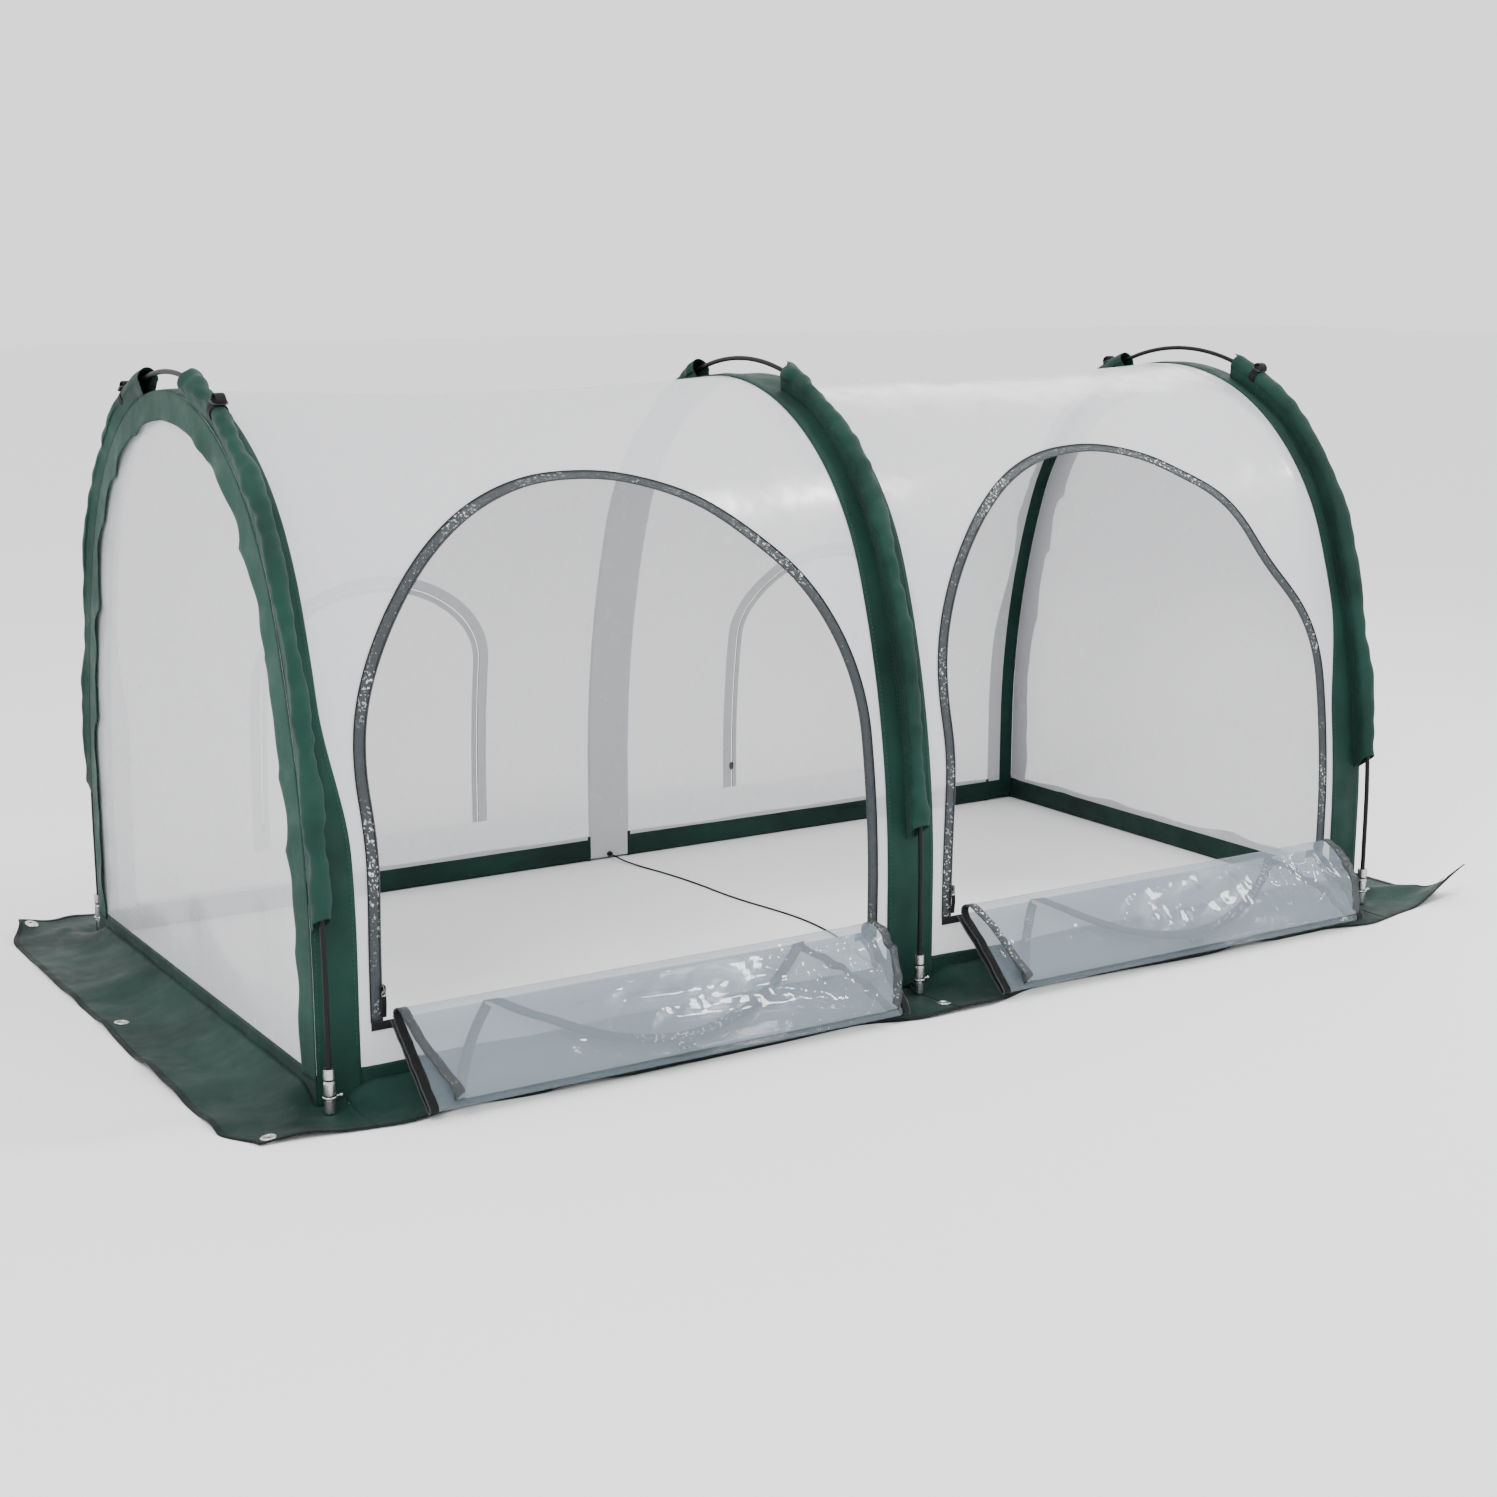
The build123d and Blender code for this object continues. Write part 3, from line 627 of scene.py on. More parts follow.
def end_cover(name):
    """The end wall's film and the gathered trim round it."""
    side = SIDES[name]
    foot_u = float(arc_at(STRIP_TOP - 0.006, COVER + 2 * FABRIC))
    rows = np.concatenate([[0.004], np.linspace(0.02, foot_u, 70)])
    share = np.linspace(-1, 1, 61)
    y, z, _, _ = arch(rows, COVER + 2 * FABRIC)
    yy = y[:, None] * share
    zz = np.repeat(z[:, None], len(share), 1)
    edge = np.clip(1 - share**2, 0, 1) * ease((zz - STRIP_TOP) / 0.15) * ease((0.875 - zz) / 0.15)
    bow = 0.0035 * edge * (1 + waves(np.stack([yy, zz * 0.6], -1), 0.25, 21 + side))
    xx = side * (END_X - 0.0006 - bow)
    wall = piece(f"end_film_{name}", [patch(np.stack([xx, yy, zz], -1))], FILM, f"{name}_end")
    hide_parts(f"end_wall_{name}")

    u = np.linspace(-1, 1, 420) * float(arc_at(STRIP_TOP - 0.008, COVER))
    v = np.linspace(0, 1, 9)
    uu, vv = grid(u, v)
    flat = np.stack([uu, uu * 0], -1)
    scallop = waves(flat, 0.26, 31 + side, 5) * 0.004 + notches(uu, 31 + side)
    width = 0.040 + scallop * ease((np.abs(uu) - 0.10) / 0.15) * ease((1.0 - np.abs(uu)) / 0.2)
    ripple = 0.0016 * waves(np.stack([uu, vv * 0.02], -1), 0.085, 51 + side)
    lift = 0.0012 + vv**1.3 * (0.0036 + ripple)
    y, z, _, _ = arch(uu, COVER + 0.0005 + vv * width)
    trim = piece(f"end_trim_cloth_{name}", [patch(np.stack([side * (END_X + lift), y, z], -1))], GREEN_TRIM,
                 f"{name}_end", thick=0.0008)
    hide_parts(f"end_trim_{name}")


# --- bands and rod sleeves -----------------------------------------------------------------------------
def stitch_row(x, u_points, inset, length=0.0035):
    """Small stitches lying on the cloth along a line round the arch."""
    made = []
    for x0, u in zip(x + 0 * u_points, u_points):
        ends = over_arch(x0, np.array([u, u + length * 0.35, u + length * 0.65, u + length]), inset)
        _, _, ny, nz = arch(np.full(4, u), 0)
        out = np.stack([0 * ny, ny, nz], -1)
        rise = np.array([0.0, 0.0004, 0.0004, 0.0])[:, None]
        made.append(sweep(ends + out * rise, out, ring_profile(0.00035, 5)))
    return made


def end_band_share(u):
    """The end bands are drawn in narrower where the sleeve gathers them."""
    return 0.62 + 0.36 * ease((np.abs(u) - 0.62) / 0.20) + 0.02 * waves(np.stack([u, 0 * u], -1), 0.3, 63)


def band(name):
    """The strip of cloth under one rod, with its edges turned in and stitched."""
    low, high = {"left": (-END_X, -END_X + END_BAND), "middle": (-MID_BAND, MID_BAND),
                 "right": (END_X - END_BAND, END_X)}[name]
    t = np.linspace(0, 1, 13)
    u = np.linspace(-1, 1, 360) * float(arc_at(0.003, COVER))
    uu, t = grid(u, t)
    xx = low + (high - low) * t
    if name != "middle":
        share = end_band_share(uu)
        xx = SIDES[name] * END_X + (xx - SIDES[name] * END_X) * share
    flat = np.stack([uu, xx], -1)
    lift = 0.0009 * np.sin(math.pi * t) * (1 + waves(flat * [1, 2], 0.09, 61))
    lift = lift * ease((FOOT - np.abs(uu)) / 0.1)
    points = over_arch(xx, uu, COVER + FABRIC / 2 - lift)
    made = piece(f"band_cloth_{name}", [patch(points)], GREEN, ARCH_BODY[name], thick=FABRIC)
    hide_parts(f"band_{name}")
    rows = []
    places = np.arange(-1.06, 1.06, 0.0065)
    if name == "middle":
        edges = [low + 0.005 + 0 * places, high - 0.005 + 0 * places]
    else:
        edges = [SIDES[name] * (END_X - 0.004) + 0 * places,
                 SIDES[name] * (END_X - END_BAND * end_band_share(places) + 0.005)]
    for edge in edges:
        rows += stitch_row(edge, places, COVER - 0.0003)
    piece(f"band_stitches_{name}", rows, THREAD, ARCH_BODY[name])


SLEEVE_LOW_Z = 0.240
TIE_U = 0.190
SLEEVE_TOP_U = {"left": 0.095, "middle": 0.126, "right": 0.140}


def teardrop(count=30):
    """Section of a sleeve: round the rod, then down both sides to the band; (outward, along X)."""
    turn = np.linspace(math.radians(-28), math.radians(208), count)
    round_part = np.stack([0.0098 * np.sin(turn), 0.0105 * np.cos(turn)], -1)
    flank = np.linspace(0, 1, 6)[1:, None]
    left = round_part[-1] * (1 - flank) + np.array([-COVER + 0.0002, -0.0055]) * flank
    base = np.array([[-COVER + 0.0002, 0.0]])
    right = (np.array([-COVER + 0.0002, 0.0055]) * (1 - flank) + round_part[0] * flank)[:-1]
    first = np.array([[-COVER + 0.0002, 0.0055]])
    return np.concatenate([round_part, left, base, first, right])


def sleeve(name, face):
    """One rod sleeve, sewn to the band, loose and wrinkled, open at both ends."""
    sign = FACES[face]
    x0 = ARCHES[name]
    shape = teardrop()
    out, across = shape[:, :1], shape[:, 1:]
    height = (out + COVER) / (COVER + 0.0098)
    seed = 70 + 5 * sign + int(10 * x0)
    s = np.linspace(0, 1, 340)[None]
    top_u = SLEEVE_TOP_U[name]
    high_u = top_u - (0.016 * height * ease(across / 0.01 + 0.5) if face == "front" else -0.006 * height)
    low_u = float(arc_at(SLEEVE_LOW_Z)) + (0.5 - height) * 0.024
    u = high_u + (low_u - high_u) * s
    flat = np.stack(np.broadcast_arrays(across * 1.2 + out * 0.4, u), -1)
    pinch = 0.0009 * waves(flat, 0.034, seed, 8) + 0.0019 * waves(flat, 0.12, seed + 1, 6)
    loose = ease(height * 1.6 - 0.15)
    tied = 0.12 * bump_at(u, TIE_U, 0.016) if name != "middle" else 0
    flare = 1.08 + 0.42 * bump_at(u, top_u, 0.05) - tied + 0.12 * waves(np.stack([u, 0 * u], -1), 0.33,
                                                                        seed + 2, 4)
    side_sway = 0.0022 * waves(np.stack([u, 0 * u], -1), 0.24, seed + 3, 4) * height
    grow = 1 + loose * (pinch / 0.010)
    r_out = np.where(out > -0.004, out * grow * flare, out + loose * pinch * 0.4)
    r_x = across * (1 + loose * (pinch / 0.009)) * flare + side_sway
    y, z, ny, nz = arch(u * sign, 0)
    points = np.stack([x0 + r_x + 0 * u, y + r_out * ny, z + r_out * nz], -1)
    return patch(points, wrap=True)


def sleeves(name):
    body = ARCH_BODY[name]
    made = piece(f"sleeve_cloth_{name}", [sleeve(name, "front"), sleeve(name, "back")], GREEN_SLEEVE, body,
                 thick=0.0008)
    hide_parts(f"sleeves_{name}")
    low = float(arc_at(SLEEVE_LOW_Z)) - 0.02
    rows = []
    for sign in (-1, 1):
        for edge in (-0.0085, 0.0085):
            places = sign * np.arange(SLEEVE_TOP_U[name] + 0.02, low, 0.0065)
            rows += stitch_row(ARCHES[name] + edge, places, COVER - 0.0012)
    piece(f"sleeve_stitches_{name}", rows, THREAD, body)


for arch_name in ARCHES:
    band(arch_name)
    sleeves(arch_name)
middle_film()
for side_name in SIDES:
    cover_bay(side_name)
    end_cover(side_name)


# --- skirts ------------------------------------------------------------------------------------------
def flap_point(x, y, lift=0.0):
    """Points on the skirt's flap, from its place in the flat plan; its edges wander and it has soft folds."""
    x, y = np.broadcast_arrays(np.asarray(x, float), np.asarray(y, float))
    ax, ay = np.abs(x), np.abs(y)
    front, right = y < 0, x > 0
    shrink = 0.062 * ease((ax - 0.72) / 0.36) + 0.010 * ease((0.5 - ax) / 0.4) * front
    shrink = shrink + 0.006 * waves(np.stack([x, 0 * x], -1), 0.42, 5) + 0.003
    shrink = shrink + 0.034 * ease((0.40 - np.abs(ax - DOOR_X)) / 0.12) * front
    shrink = shrink * np.where(front, 1.0, 0.6)
    out_y = np.clip((ay - WALL_Y) / (FLAP_Y - WALL_Y), 0, 1.2)
    new_y = np.where(ay > WALL_Y, WALL_Y + (ay - WALL_Y) - np.maximum(shrink, 0) * out_y, ay)
    out_x = np.clip((ax - END_X) / (FLAP_X - END_X), 0, 1.2)
    corner = ease((ay - 0.47) / 0.12)
    reach = np.where(right & front, 0.048, -0.030) * corner - 0.004 - 0.004 * waves(np.stack([y, 0 * y], -1),
                                                                                    0.5, 6)
    new_x = np.where(ax > END_X, ax + reach * out_x, ax)
    spread = np.maximum(out_y, out_x)
    away = ease(spread / 0.35)
    folds = waves(np.stack([x, y * 1.5], -1), 0.30, 7, 6) * 0.55 + waves(np.stack([x, y], -1), 0.13, 8,
                                                                         6) * 0.30
    rise = 0.0075 * np.clip(0.35 + folds, 0, 2) ** 1.5 * away
    rise = rise + 0.026 * np.clip(1 - spread / 0.55, 0, 1) ** 1.7
    for foot_x in ARCHES.values():
        for foot_y in (-HALF_SPAN, HALF_SPAN):
            near = np.hypot(x - foot_x, y - foot_y)
            rise = rise * ease((near - 0.012) / 0.060)
    rise = rise + 0.060 * ease((x - 0.935) / 0.13) * ease((-y - 0.49) / 0.12)
    rise = rise + 0.014 * ease((-x - 0.95) / 0.09) * ease((y - 0.50) / 0.086)
    rise = rise + 0.006 * ease((x - 0.95) / 0.09) * ease((y - 0.50) / 0.086)
    z = 0.0010 + rise + lift
    return np.stack([np.sign(x) * new_x, np.sign(y) * new_y, z], -1)


MIDDLE_EYELET_Y = 0.545
END_EYELET_X = 1.016
END_EYELET_Y = 0.561


def eyelet_places(name):
    """Where the CAD has this arch's eyelets, in the flat plan."""
    if name == "middle":
        return [(0.0, -MIDDLE_EYELET_Y), (0.0, MIDDLE_EYELET_Y)]
    x = SIDES[name] * END_EYELET_X
    return [(x, -END_EYELET_Y), (x, 0.0), (x, END_EYELET_Y)]


def eyelet_frame(x, y):
    e = 0.006
    centre = flap_point(x, y)
    p = flap_point(x + e, y) - flap_point(x - e, y)
    q = flap_point(x, y + e) - flap_point(x, y - e)
    normal = np.cross(p, q)
    if normal[2] < 0:
        normal = -normal
    return centre, normal / np.linalg.norm(normal)


def cut_holes(obj, places, radius=0.0062):
    """Punch the cloth where the eyelets go."""
    for x, y in places:
        centre, normal = eyelet_frame(x, y)
        mesh = bpy.data.meshes.new("punch")
        work = bmesh.new()
        bmesh.ops.create_cone(work, cap_ends=True, segments=20, radius1=radius, radius2=radius, depth=0.02)
        work.to_mesh(mesh)
        work.free()
        punch = bpy.data.objects.new("punch", mesh)
        bpy.context.scene.collection.objects.link(punch)
        punch.rotation_mode = "QUATERNION"
        punch.rotation_quaternion = Vector(normal).to_track_quat("Z", "Y")
        punch.location = Vector(centre)
        bpy.context.view_layer.update()
        cut = obj.modifiers.new("punch", "BOOLEAN")
        cut.operation = "DIFFERENCE"
        cut.solver = "EXACT"
        cut.object = punch
        apply_all(obj)
        bpy.data.objects.remove(punch)


def hem_patch(edge_points, inner_points):
    """A turned edge between an outer and an inner line."""
    share = np.linspace(0, 1, 4)[None, :, None]
    return patch(edge_points[:, None] * (1 - share) + inner_points[:, None] * share)


def side_skirt(face, name):
    side, sign = SIDES[name], FACES[face]
    x = side * np.linspace(0.0004, FLAP_SPLIT - 0.0005, 150)
    y = sign * np.linspace(WALL_Y + 0.0005, FLAP_Y, 26)
    xx, yy = grid(x, y)
    flap = piece(f"skirt_flap_{face}_{name}", [patch(flap_point(xx, yy))], GREEN_SKIRT, "middle",
                 thick=FLAP_THICK)
    cut_holes(flap, [(0.0, sign * MIDDLE_EYELET_Y)])
    crumple(flap, name, "skirt")
    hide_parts(f"skirt_{face}_{name}")
    hem = hem_patch(flap_point(x, 0 * x + sign * (FLAP_Y + 0.0006)),
                    flap_point(x, 0 * x + sign * (FLAP_Y - 0.008)))
    piece(f"skirt_hem_{face}_{name}", [hem], HEM, "middle", thick=0.0022,
          squash=(name, "skirt"))

    low, high = MID_BAND - 0.003, END_X - END_BAND + 0.003
    x = side * np.linspace(low, high, 240)
    z = np.linspace(0.0012, STRIP_TOP, 9)
    xx, zz = grid(x, z)
    wave = 0.0016 * waves(np.stack([xx, zz], -1), 0.14,
                          91 + sign) * np.sin(math.pi * np.clip(zz / STRIP_TOP, 0, 1))
    tucked = 0.0014 * (1 - ease((np.minimum(np.abs(xx) - low, high - np.abs(xx)) - 0.003) / 0.006))
    wave = wave * ease((np.minimum(np.abs(xx) - low, high - np.abs(xx)) - 0.004) / 0.03) - tucked
    points = np.stack([xx, sign * (WALL_Y - 0.0005 + wave),
                       zz + 0.0014 * waves(np.stack([xx, 0 * xx], -1), 0.2, 92) * (zz > 0.04)], -1)
    strip = piece(f"skirt_strip_{face}_{name}", [patch(points)], GREEN_SKIRT, "middle",
                  thick=FABRIC,
                  squash=(name, "bay"))


def end_skirt(name):
    side = SIDES[name]
    body = f"{name}_end"
    inner_x = END_X + 0.0012
    ys = np.concatenate([-np.linspace(FLAP_Y, WALL_Y + 0.0003, 22), np.linspace(-WALL_Y, WALL_Y, 130),
                         np.linspace(WALL_Y + 0.0003, FLAP_Y, 22)])
    xs = side * np.linspace(inner_x, FLAP_X, 24)
    patches = [patch(flap_point(*grid(xs, ys)))]
    corner_x = side * np.linspace(FLAP_SPLIT, inner_x, 8)
    for sign in (-1, 1):
        corner_y = sign * np.linspace(WALL_Y + 0.0003, FLAP_Y, 22)
        patches.append(patch(flap_point(*grid(corner_x, corner_y))))
    flap = piece(f"skirt_flap_end_{name}", patches, GREEN_SKIRT, body, thick=FLAP_THICK,
                 merge=0.0001)
    cut_holes(flap, eyelet_places(name))
    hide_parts(f"skirt_end_{name}")

    e = 0.0006
    run_x = side * np.linspace(FLAP_SPLIT, FLAP_X, 40)
    run_y = np.linspace(-FLAP_Y, FLAP_Y, 200)
    outer = np.concatenate([flap_point(run_x, 0 * run_x - FLAP_Y - e),
                            flap_point(0 * run_y + side * (FLAP_X + e), run_y),
                            flap_point(run_x[::-1], 0 * run_x + FLAP_Y + e)])
    w = 0.008
    inner_run = np.linspace(FLAP_SPLIT, FLAP_X - w, 40) * side
    inner_y = np.linspace(-FLAP_Y + w, FLAP_Y - w, 200)
    inner = np.concatenate([flap_point(inner_run, 0 * inner_run - FLAP_Y + w),
                            flap_point(0 * inner_y + side * (FLAP_X - w), inner_y),
                            flap_point(inner_run[::-1], 0 * inner_run + FLAP_Y - w)])
    keep = np.concatenate([[True], np.linalg.norm(np.diff(outer, axis=0), axis=-1) > 1e-5])
    piece(f"skirt_hem_end_{name}", [hem_patch(outer[keep], inner[keep])], HEM, body,
          thick=0.0022)

    y = np.linspace(-WALL_Y + 0.001, WALL_Y - 0.001, 160)
    z = np.linspace(0.0012, STRIP_TOP, 9)
    yy, zz = grid(y, z)
    wave = 0.0014 * waves(np.stack([yy, zz], -1), 0.14,
                          95 + side) * np.sin(math.pi * np.clip(zz / STRIP_TOP, 0, 1))
    strip = piece(f"skirt_strip_end_{name}", [patch(np.stack([side * (END_X + 0.0005 + wave), yy, zz], -1))],
                  GREEN_SKIRT,
                  body, thick=FABRIC)


def eyelets(name):
    """Two-part eyelets: a domed flange on top, a washer below and the barrel between."""
    section = np.array([(0.0050, 0.0012), (0.0056, 0.0019), (0.0072, 0.0022), (0.0094, 0.0018),
                        (0.0109, 0.0008),
                        (0.0106, 0.0005), (0.0060, 0.0006), (0.0060, -0.0006), (0.0104, -0.0006),
                        (0.0104, -0.0010),
                        (0.0052, -0.0010), (0.0050, -0.0006)])
    turn = np.linspace(0, 2 * math.pi, 40, endpoint=False)
    patches = []
    for x, y in eyelet_places(name):
        centre, normal = eyelet_frame(x, y)
        p = np.cross(normal, (0, 1, 0))
        p /= np.linalg.norm(p)
        q = np.cross(normal, p)
        rim = np.cos(turn)[:, None] * p + np.sin(turn)[:, None] * q
        ring = centre + rim[:, None] * section[None, :, :1] + normal * section[None, :, 1:]
        ring = np.concatenate([ring, ring[:, :1]], 1)
        patches.append(patch(ring, wrap=True))
    made = piece(f"eyelet_rings_{name}", patches, EYELET, ARCH_BODY[name], merge=0.00001)
    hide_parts(f"eyelets_{name}")


for side_name in SIDES:
    for face_name in FACES:
        side_skirt(face_name, side_name)
    end_skirt(side_name)
for arch_name in ARCHES:
    eyelets(arch_name)


# --- zips round the doorways ----------------------------------------------------------------------------
def coil(line, lift, pitch=0.0030, radius=0.0015):
    """A zip's row of teeth: a ribbed cord along (x, u) points on the film."""
    steps = int(along(on_film(line[:, 0], line[:, 1]))[-1] / pitch * 4)
    fine = resample(line, steps)
    path = on_film(fine[:, 0], fine[:, 1], lift)
    rib = 0.72 + 0.28 * np.cos(np.arange(steps) * math.pi / 2)
    return sweep(path, film_out(fine[:, 0], fine[:, 1]),
                 ring_profile(radius, 6)[:, None] * rib[None, :, None])


def tape_strip(face, side, inner, outer, lift):
    """A strip of tape between two offsets of a doorway's outline."""
    a, b = doorway(face, side, inner, 260), doorway(face, side, outer, 260)
    share = np.linspace(0, 1, 4)[None, :, None]
    flat = a[:, None] * (1 - share) + b[:, None] * share
    return patch(on_film(flat[..., 0], flat[..., 1], lift))


def wall_zips(face, name):
    side = SIDES[name]
    tape = piece(f"wall_zip_{face}_{name}", [tape_strip(face, side, 0.0006, TAPE, 0.0008)], ZIP, "middle",
                 thick=0.0008, squash=(name, "bay"))
    if name == "left":
        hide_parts(f"zip_tapes_{face}")
    piece(f"wall_coil_{face}_{name}", [coil(doorway(face, side, 0.0018, 400), 0.0014)], COIL, "middle",
          squash=(name, "bay"))
    if face == "front":
        corners = []
        for end in (-1, 1):
            x = side * DOOR_X + end * np.linspace(DOOR_HALF["front"] - 0.020, DOOR_HALF["front"] + TAPE, 12)
            u = -np.linspace(float(arc_at(SILL + 0.0004, FILM_IN)), float(arc_at(SILL - 0.011, FILM_IN)), 5)
            corners.append(patch(on_film(*grid(x, u), 0.0011)))
        piece(f"doorway_corners_{name}", corners, ZIP_DARK, "middle", thick=0.0006,
              squash=(name, "bay"))
    rim = doorway(face, side, TAPE, 260).T
    cord = sweep(on_film(*rim, 0.0012), film_out(*rim), ring_profile(0.0009, 6))
    piece(f"doorway_edge_{face}_{name}", [cord], ZIP_DARK, "middle", squash=(name, "bay"))


def back_door(name):
    """The closed rear door with its half of the zip."""
    side = SIDES[name]
    line = doorway("back", side, -0.0012, 181)
    left, right = line[:90], line[::-1][:90]
    share = np.linspace(0, 1, 40)[None, :, None]
    flat = left[:, None] * (1 - share) + right[:, None] * share
    body = f"back_door_{name}"
    sheet = piece(f"back_door_film_{name}", [patch(on_film(flat[..., 0], flat[..., 1], -0.0002))], BACK_FILM,
                  body,
                  squash=(name, "bay"))
    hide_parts(body)
    piece(f"back_door_tape_{name}", [tape_strip("back", side, -0.0010, -0.0100, 0.0008)], ZIP, body,
          thick=0.0008, squash=(name, "bay"))


def slider(face, name):
    """Slider body, bridge and a short webbing pull, over the zip at the door's left foot."""
    side, sign = SIDES[name], FACES[face]
    line = doorway(face, side, 0.0008, 400)
    height = arch(line[:, 1], FILM_IN)[1]
    place = line[int(np.argmin(np.abs(height[:200] - 0.140)))]
    base = on_film(place[0], place[1], 0.0)
    out = np.array((0.0, float(sign), 0.0))
    up = np.array((0.0, 0.0, 1.0))
    across = np.array((1.0, 0.0, 0.0))

    def plate(low, high, wide, tall, centre_z, nose):
        ring = []
        for lift, shrink in ((low, 0.86), (low + 0.0004, 1.0), (high - 0.0004, 1.0), (high, 0.86)):
            t = np.linspace(0, 2 * math.pi, 25)[:-1]
            w = wide / 2 * np.sign(np.cos(t)) * np.abs(np.cos(t)) ** 0.6
            h = tall / 2 * np.sign(np.sin(t)) * np.abs(np.sin(t)) ** 0.6
            w = w * np.where(h > 0, 1, 1 - nose * np.abs(h) / (tall / 2)) * shrink
            ring.append(base + np.outer(w, across) + np.outer(h * shrink + centre_z, up) + out * lift)
        return patch(np.stack(ring, 1), wrap=True, caps=True)

    bridge_t = np.linspace(0, math.pi, 15)
    bridge = base + np.outer(0.0050 * np.cos(bridge_t), up) + np.outer(0.0042 + 0.0026 * np.sin(bridge_t),
                                                                       out)
    patches = [plate(-0.0014, -0.0002, 0.0085, 0.0140, 0.0, 0.35),
               plate(0.0030, 0.0044, 0.0085, 0.0140, 0.0, 0.35),
               plate(-0.0004, 0.0032, 0.0022, 0.0036, 0.0050, 0.0),
               sweep(bridge, np.tile(out, (15, 1)), ring_profile(0.0008, 8))]
    eye = np.linspace(0, 2 * math.pi, 33)
    ring_path = base + np.outer(0.0028 * np.cos(eye), across) + np.outer(0.0044 * np.sin(eye) - 0.0052,
                                                                         up) + out * 0.0058
    patches.append(sweep(ring_path, np.tile(out, (33, 1)), ring_profile(0.0006, 6), caps=False))
    drop = np.linspace(0, 1, 14)
    pull = base + np.outer(-0.0075 - 0.0270 * drop, up) + np.outer(0.0058 + 0.0008 * np.sin(drop * 5), out)
    patches.append(sweep(pull, np.tile(out, (14, 1)), strap_profile(0.0065, 0.0014), slot=1))
    body = f"slider_{face}_{name}"
    made = piece(f"zip_pull_{face}_{name}", patches, [ZIP_METAL, BLACK], body,
                 squash=(name, "bay"))
    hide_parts(f"zip_slider_{face}_{name}")


for side_name in SIDES:
    for face_name in FACES:
        wall_zips(face_name, side_name)
        slider(face_name, side_name)
    back_door(side_name)


# --- the front doors, unzipped and folded down over their sills -----------------------------------------
def wall_height(run):
    """Height of the cover's outer face, a given way up the wall from the sill."""
    side, crown = SIDE_R - COVER, CROWN_R - COVER
    upright = LEG_TOP - SILL
    angle = (run - upright) / side
    high = TURN + (run - upright - side * TURN) / crown
    return np.where(run <= upright, SILL + run,
                    np.where(run <= upright + side * TURN, LEG_TOP + side * np.sin(angle),
                             CROWN_Z + crown * np.sin(high)))


def door_half(run):
    """Half width of the loose door, a given way up from its sill."""
    over = np.clip((wall_height(run) - JAMB) / (DOOR_TOP["front"] - PANEL_EDGE - JAMB), 0, 1)
    return (DOOR_HALF["front"] - PANEL_EDGE) * np.sqrt(1 - over**2)


def door_edge(count=600):
    """The loose door's outline in its own flat plan, (x, way up), from its left foot to its right foot."""
    run = PANEL_STARTS[-1] * np.sin(np.linspace(0, 1, count) * math.pi / 2)
    half = door_half(run)
    left = np.stack([-half, run], -1)
    right = np.stack([half, run], -1)[::-1]
    return np.concatenate([left, right[1:]])


def turned_edge(distance, half_gap):
    """How far a fold's round edge has turned away from its layer, at a distance from the fold."""
    reach = 1.25 * abs(half_gap) + 1e-6
    left = 1 - np.clip(distance / reach, 0, 1)
    return half_gap * (1 - np.sqrt(np.clip(1 - left**2, 0, 1)))


def on_door(name, layer, x, run, lift=0.0):
    """Points of one layer of a folded door, at x across it and run up from its sill."""
    side = SIDES[name]
    x, run = np.broadcast_arrays(np.asarray(x, float), np.asarray(run, float))
    near, far = FOLD_REACH[layer], FOLD_REACH[layer + 1]
    length = abs(far - near)
    gone = np.clip(run - PANEL_STARTS[layer], 0, length)
    out = near + (far - near) * gone / length
    high = LAYER_HEIGHTS[layer]
    b = high + lift + 0 * x
    if layer > 0:
        b = b + turned_edge(gone, (LAYER_HEIGHTS[layer - 1] - high) / 2)
    if layer < len(LAYER_HEIGHTS) - 1:
        b = b + turned_edge(length - gone, (LAYER_HEIGHTS[layer + 1] - high) / 2)
    swell = np.sin(math.pi * np.clip(out / FOLD_REACH[1], 0, 1)) ** 0.8
    flat = np.stack([x, out], -1)
    lazy = waves(flat * [1, 1.4], 0.40, 101 + side, 6)
    creased = 1 - np.abs(waves(flat, 0.085, 103 + side, 7)) - np.abs(waves(flat, 0.050, 104 + side, 7))
    crush = 1.5 * creased * ease((x - 0.10) / 0.16) + 0.45 * waves(flat * [0.09, 1.0], 0.028, 105 + side, 8)
    crush = crush + 0.30 * creased
    share = 0.10 + 0.90 * high / max(LAYER_HEIGHTS)
    bulge = 0.010 * swell * share * (1 + 0.4 * lazy + 0.9 * ease((x - 0.15) / 0.2))
    b = b + bulge + 0.0026 * swell * crush
    c, s = math.cos(FALL), math.sin(FALL)
    y = SILL_PIVOT[1] - out * c - b * s
    z = SILL_PIVOT[2] - out * s + b * c
    return np.stack([side * DOOR_X + x, y, z], -1)


def fold_steps(count, layer):
    """Places up one layer, close together in its bends."""
    t = np.linspace(0, 1, count)
    even = 0.5 - 0.5 * np.cos(math.pi * t)
    low, high = PANEL_STARTS[layer : layer + 2]
    return low + (high - low) * (0.65 * even + 0.35 * t)


DOOR_TAPE_WIDTH = 0.012
TOOTH_STEP = 0.00075


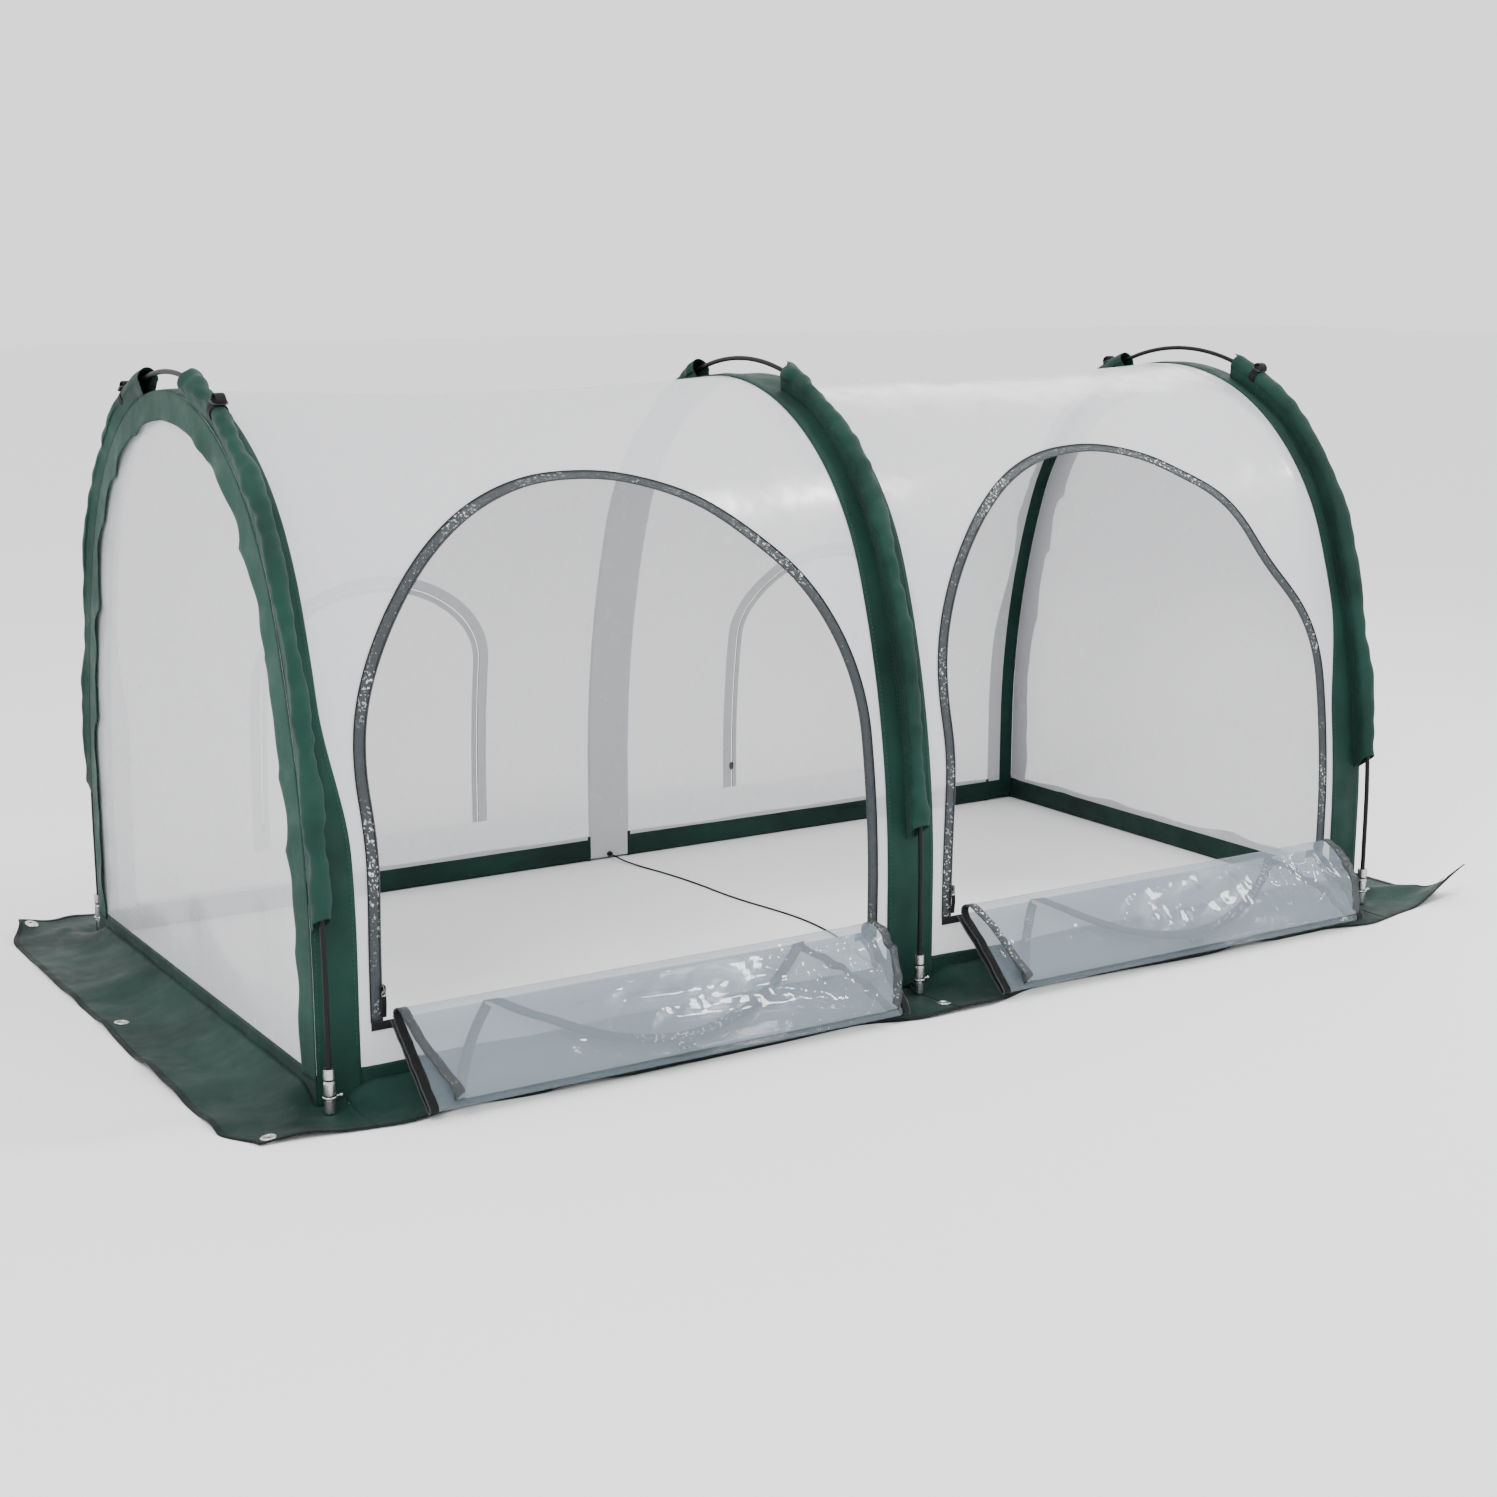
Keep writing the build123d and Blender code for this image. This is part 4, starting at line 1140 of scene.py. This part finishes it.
def front_door(name):
    side = SIDES[name]
    outline = door_edge()
    for layer in range(len(LAYER_HEIGHTS)):
        body = f"door_{name}_{layer + 1}"
        low, high = PANEL_STARTS[layer : layer + 2]
        rows = fold_steps(44, layer)
        half = np.maximum(door_half(rows) - 0.0015, 0.0005)
        share = np.linspace(-1, 1, 121)
        xx = half[:, None] * share
        rr = np.repeat(rows[:, None], len(share), 1)
        look = DOOR_FILM_TOP if LAYER_HEIGHTS[layer] == max(LAYER_HEIGHTS) else DOOR_FILM
        sheet = piece(f"door_film_{name}_{layer + 1}", [patch(on_door(name, layer, xx, rr))], look, body,
                      squash=(name, "bay"))
        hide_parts(f"door_{name}_panel_{layer + 1}")
        tapes, coils = [], []
        for half_line in (outline[: len(outline) // 2 + 1], outline[len(outline) // 2:][::-1]):
            inside = (half_line[:, 1] >= low - 1e-6) & (half_line[:, 1] <= high + 1e-6)
            run_line = half_line[inside]
            limits = (low, min(high, half_line[-1, 1]))
            ends = np.array([[np.interp(e, half_line[:, 1], half_line[:, 0]), e] for e in limits])
            run_line = np.concatenate([ends[:1], run_line, ends[1:]])
            run_line = run_line[np.concatenate([[True],
                                                np.linalg.norm(np.diff(run_line, axis=0), axis=-1) > 1e-5])]
            dense = resample(run_line, 110)
            normal = -left_of(dense) if half_line[0, 0] < 0 else left_of(dense)
            share = np.linspace(0, DOOR_TAPE_WIDTH, 4)[None, :, None]
            flat = dense[:, None] + normal[:, None] * share
            flat[..., 1] = np.clip(flat[..., 1], low, high)
            tapes.append(patch(on_door(name, layer, flat[..., 0], flat[..., 1])))
            teeth = resample(run_line, int(along(run_line)[-1] / TOOTH_STEP))
            path = on_door(name, layer, teeth[:, 0], teeth[:, 1])
            outward = on_door(name, layer, teeth[:, 0], teeth[:, 1], 0.001) - path
            rib = 0.72 + 0.28 * np.cos(np.arange(len(teeth)) * math.pi / 2)
            coils.append(sweep(path, outward, ring_profile(0.0016, 6)[:, None] * rib[None, :, None], slot=1))
        tape_look = DOOR_TAPE if layer < 2 else ZIP
        piece(f"door_tape_{name}_{layer + 1}", tapes, tape_look, body, thick=0.0016,
              squash=(name, "bay"))
        piece(f"door_coil_{name}_{layer + 1}", coils, [COIL, COIL], body, squash=(name, "bay"))


for side_name in SIDES:
    front_door(side_name)


# --- ties round the end sleeves -------------------------------------------------------------------------
def guy_ties(name):
    """A webbing strap round each end sleeve, with a small loop and a buckle."""
    x0 = ARCHES[name]
    patches = []
    for sign in (-1, 1):
        u0 = sign * TIE_U
        y, z, ny, nz = (float(v) for v in arch(np.array(u0), 0))
        centre = np.array((x0, y, z))
        out = np.array((0.0, ny, nz))
        way = np.array((0.0, nz, -ny))
        across = np.array((1.0, 0.0, 0.0))
        t = np.linspace(0, 2 * math.pi, 49)
        loop = centre + np.outer(0.0116 * np.sin(t) - 0.0002, out) + np.outer(0.0126 * np.cos(t), across)
        loop_out = np.outer(np.sin(t), out) + np.outer(np.cos(t), across)
        patches.append(sweep(loop, loop_out, strap_profile(0.014, 0.0015), caps=False))
        ear = np.linspace(-0.5 * math.pi, 1.5 * math.pi, 49)
        loop = centre + np.outer(0.0172 + 0.0060 * np.sin(ear), out) + np.outer(0.0085 * np.cos(ear), way)
        loop_out = np.outer(np.sin(ear), out) + np.outer(np.cos(ear), way)
        patches.append(sweep(loop, loop_out, strap_profile(0.014, 0.0015), caps=False))
        t = np.linspace(0, 2 * math.pi, 33)
        frame_line = centre + np.outer(0.0134 + 0 * t, out)
        frame_line = frame_line + np.outer(0.0105 * np.sign(np.cos(t)) * np.abs(np.cos(t)) ** 0.5, across)
        frame_line = frame_line + np.outer(0.0075 * np.sign(np.sin(t)) * np.abs(np.sin(t)) ** 0.5, way)
        patches.append(sweep(frame_line, np.tile(out, (33, 1)), ring_profile(0.0014, 8), slot=1, caps=False))
    made = piece(f"guy_ties_{name}", patches, [BLACK, BUCKLE], f"{name}_end")
    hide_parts(f"guy_loops_{name}")


for side_name in SIDES:
    guy_ties(side_name)

# --- finishes of the parts that stay as they are in the CAD ---------------------------------------------
FINISH = {"rod_legs": ROD, "rod_crown": ROD, "ferrules": FERRULE, "shock_cord": ELASTIC, "tips": STEEL,
          "rings": WIRE}
for arch_name in ARCHES:
    for part_name, finish in FINISH.items():
        node = NODES[f"{part_name}_{arch_name}"]
        node.data.materials.clear()
        node.data.materials.append(finish)
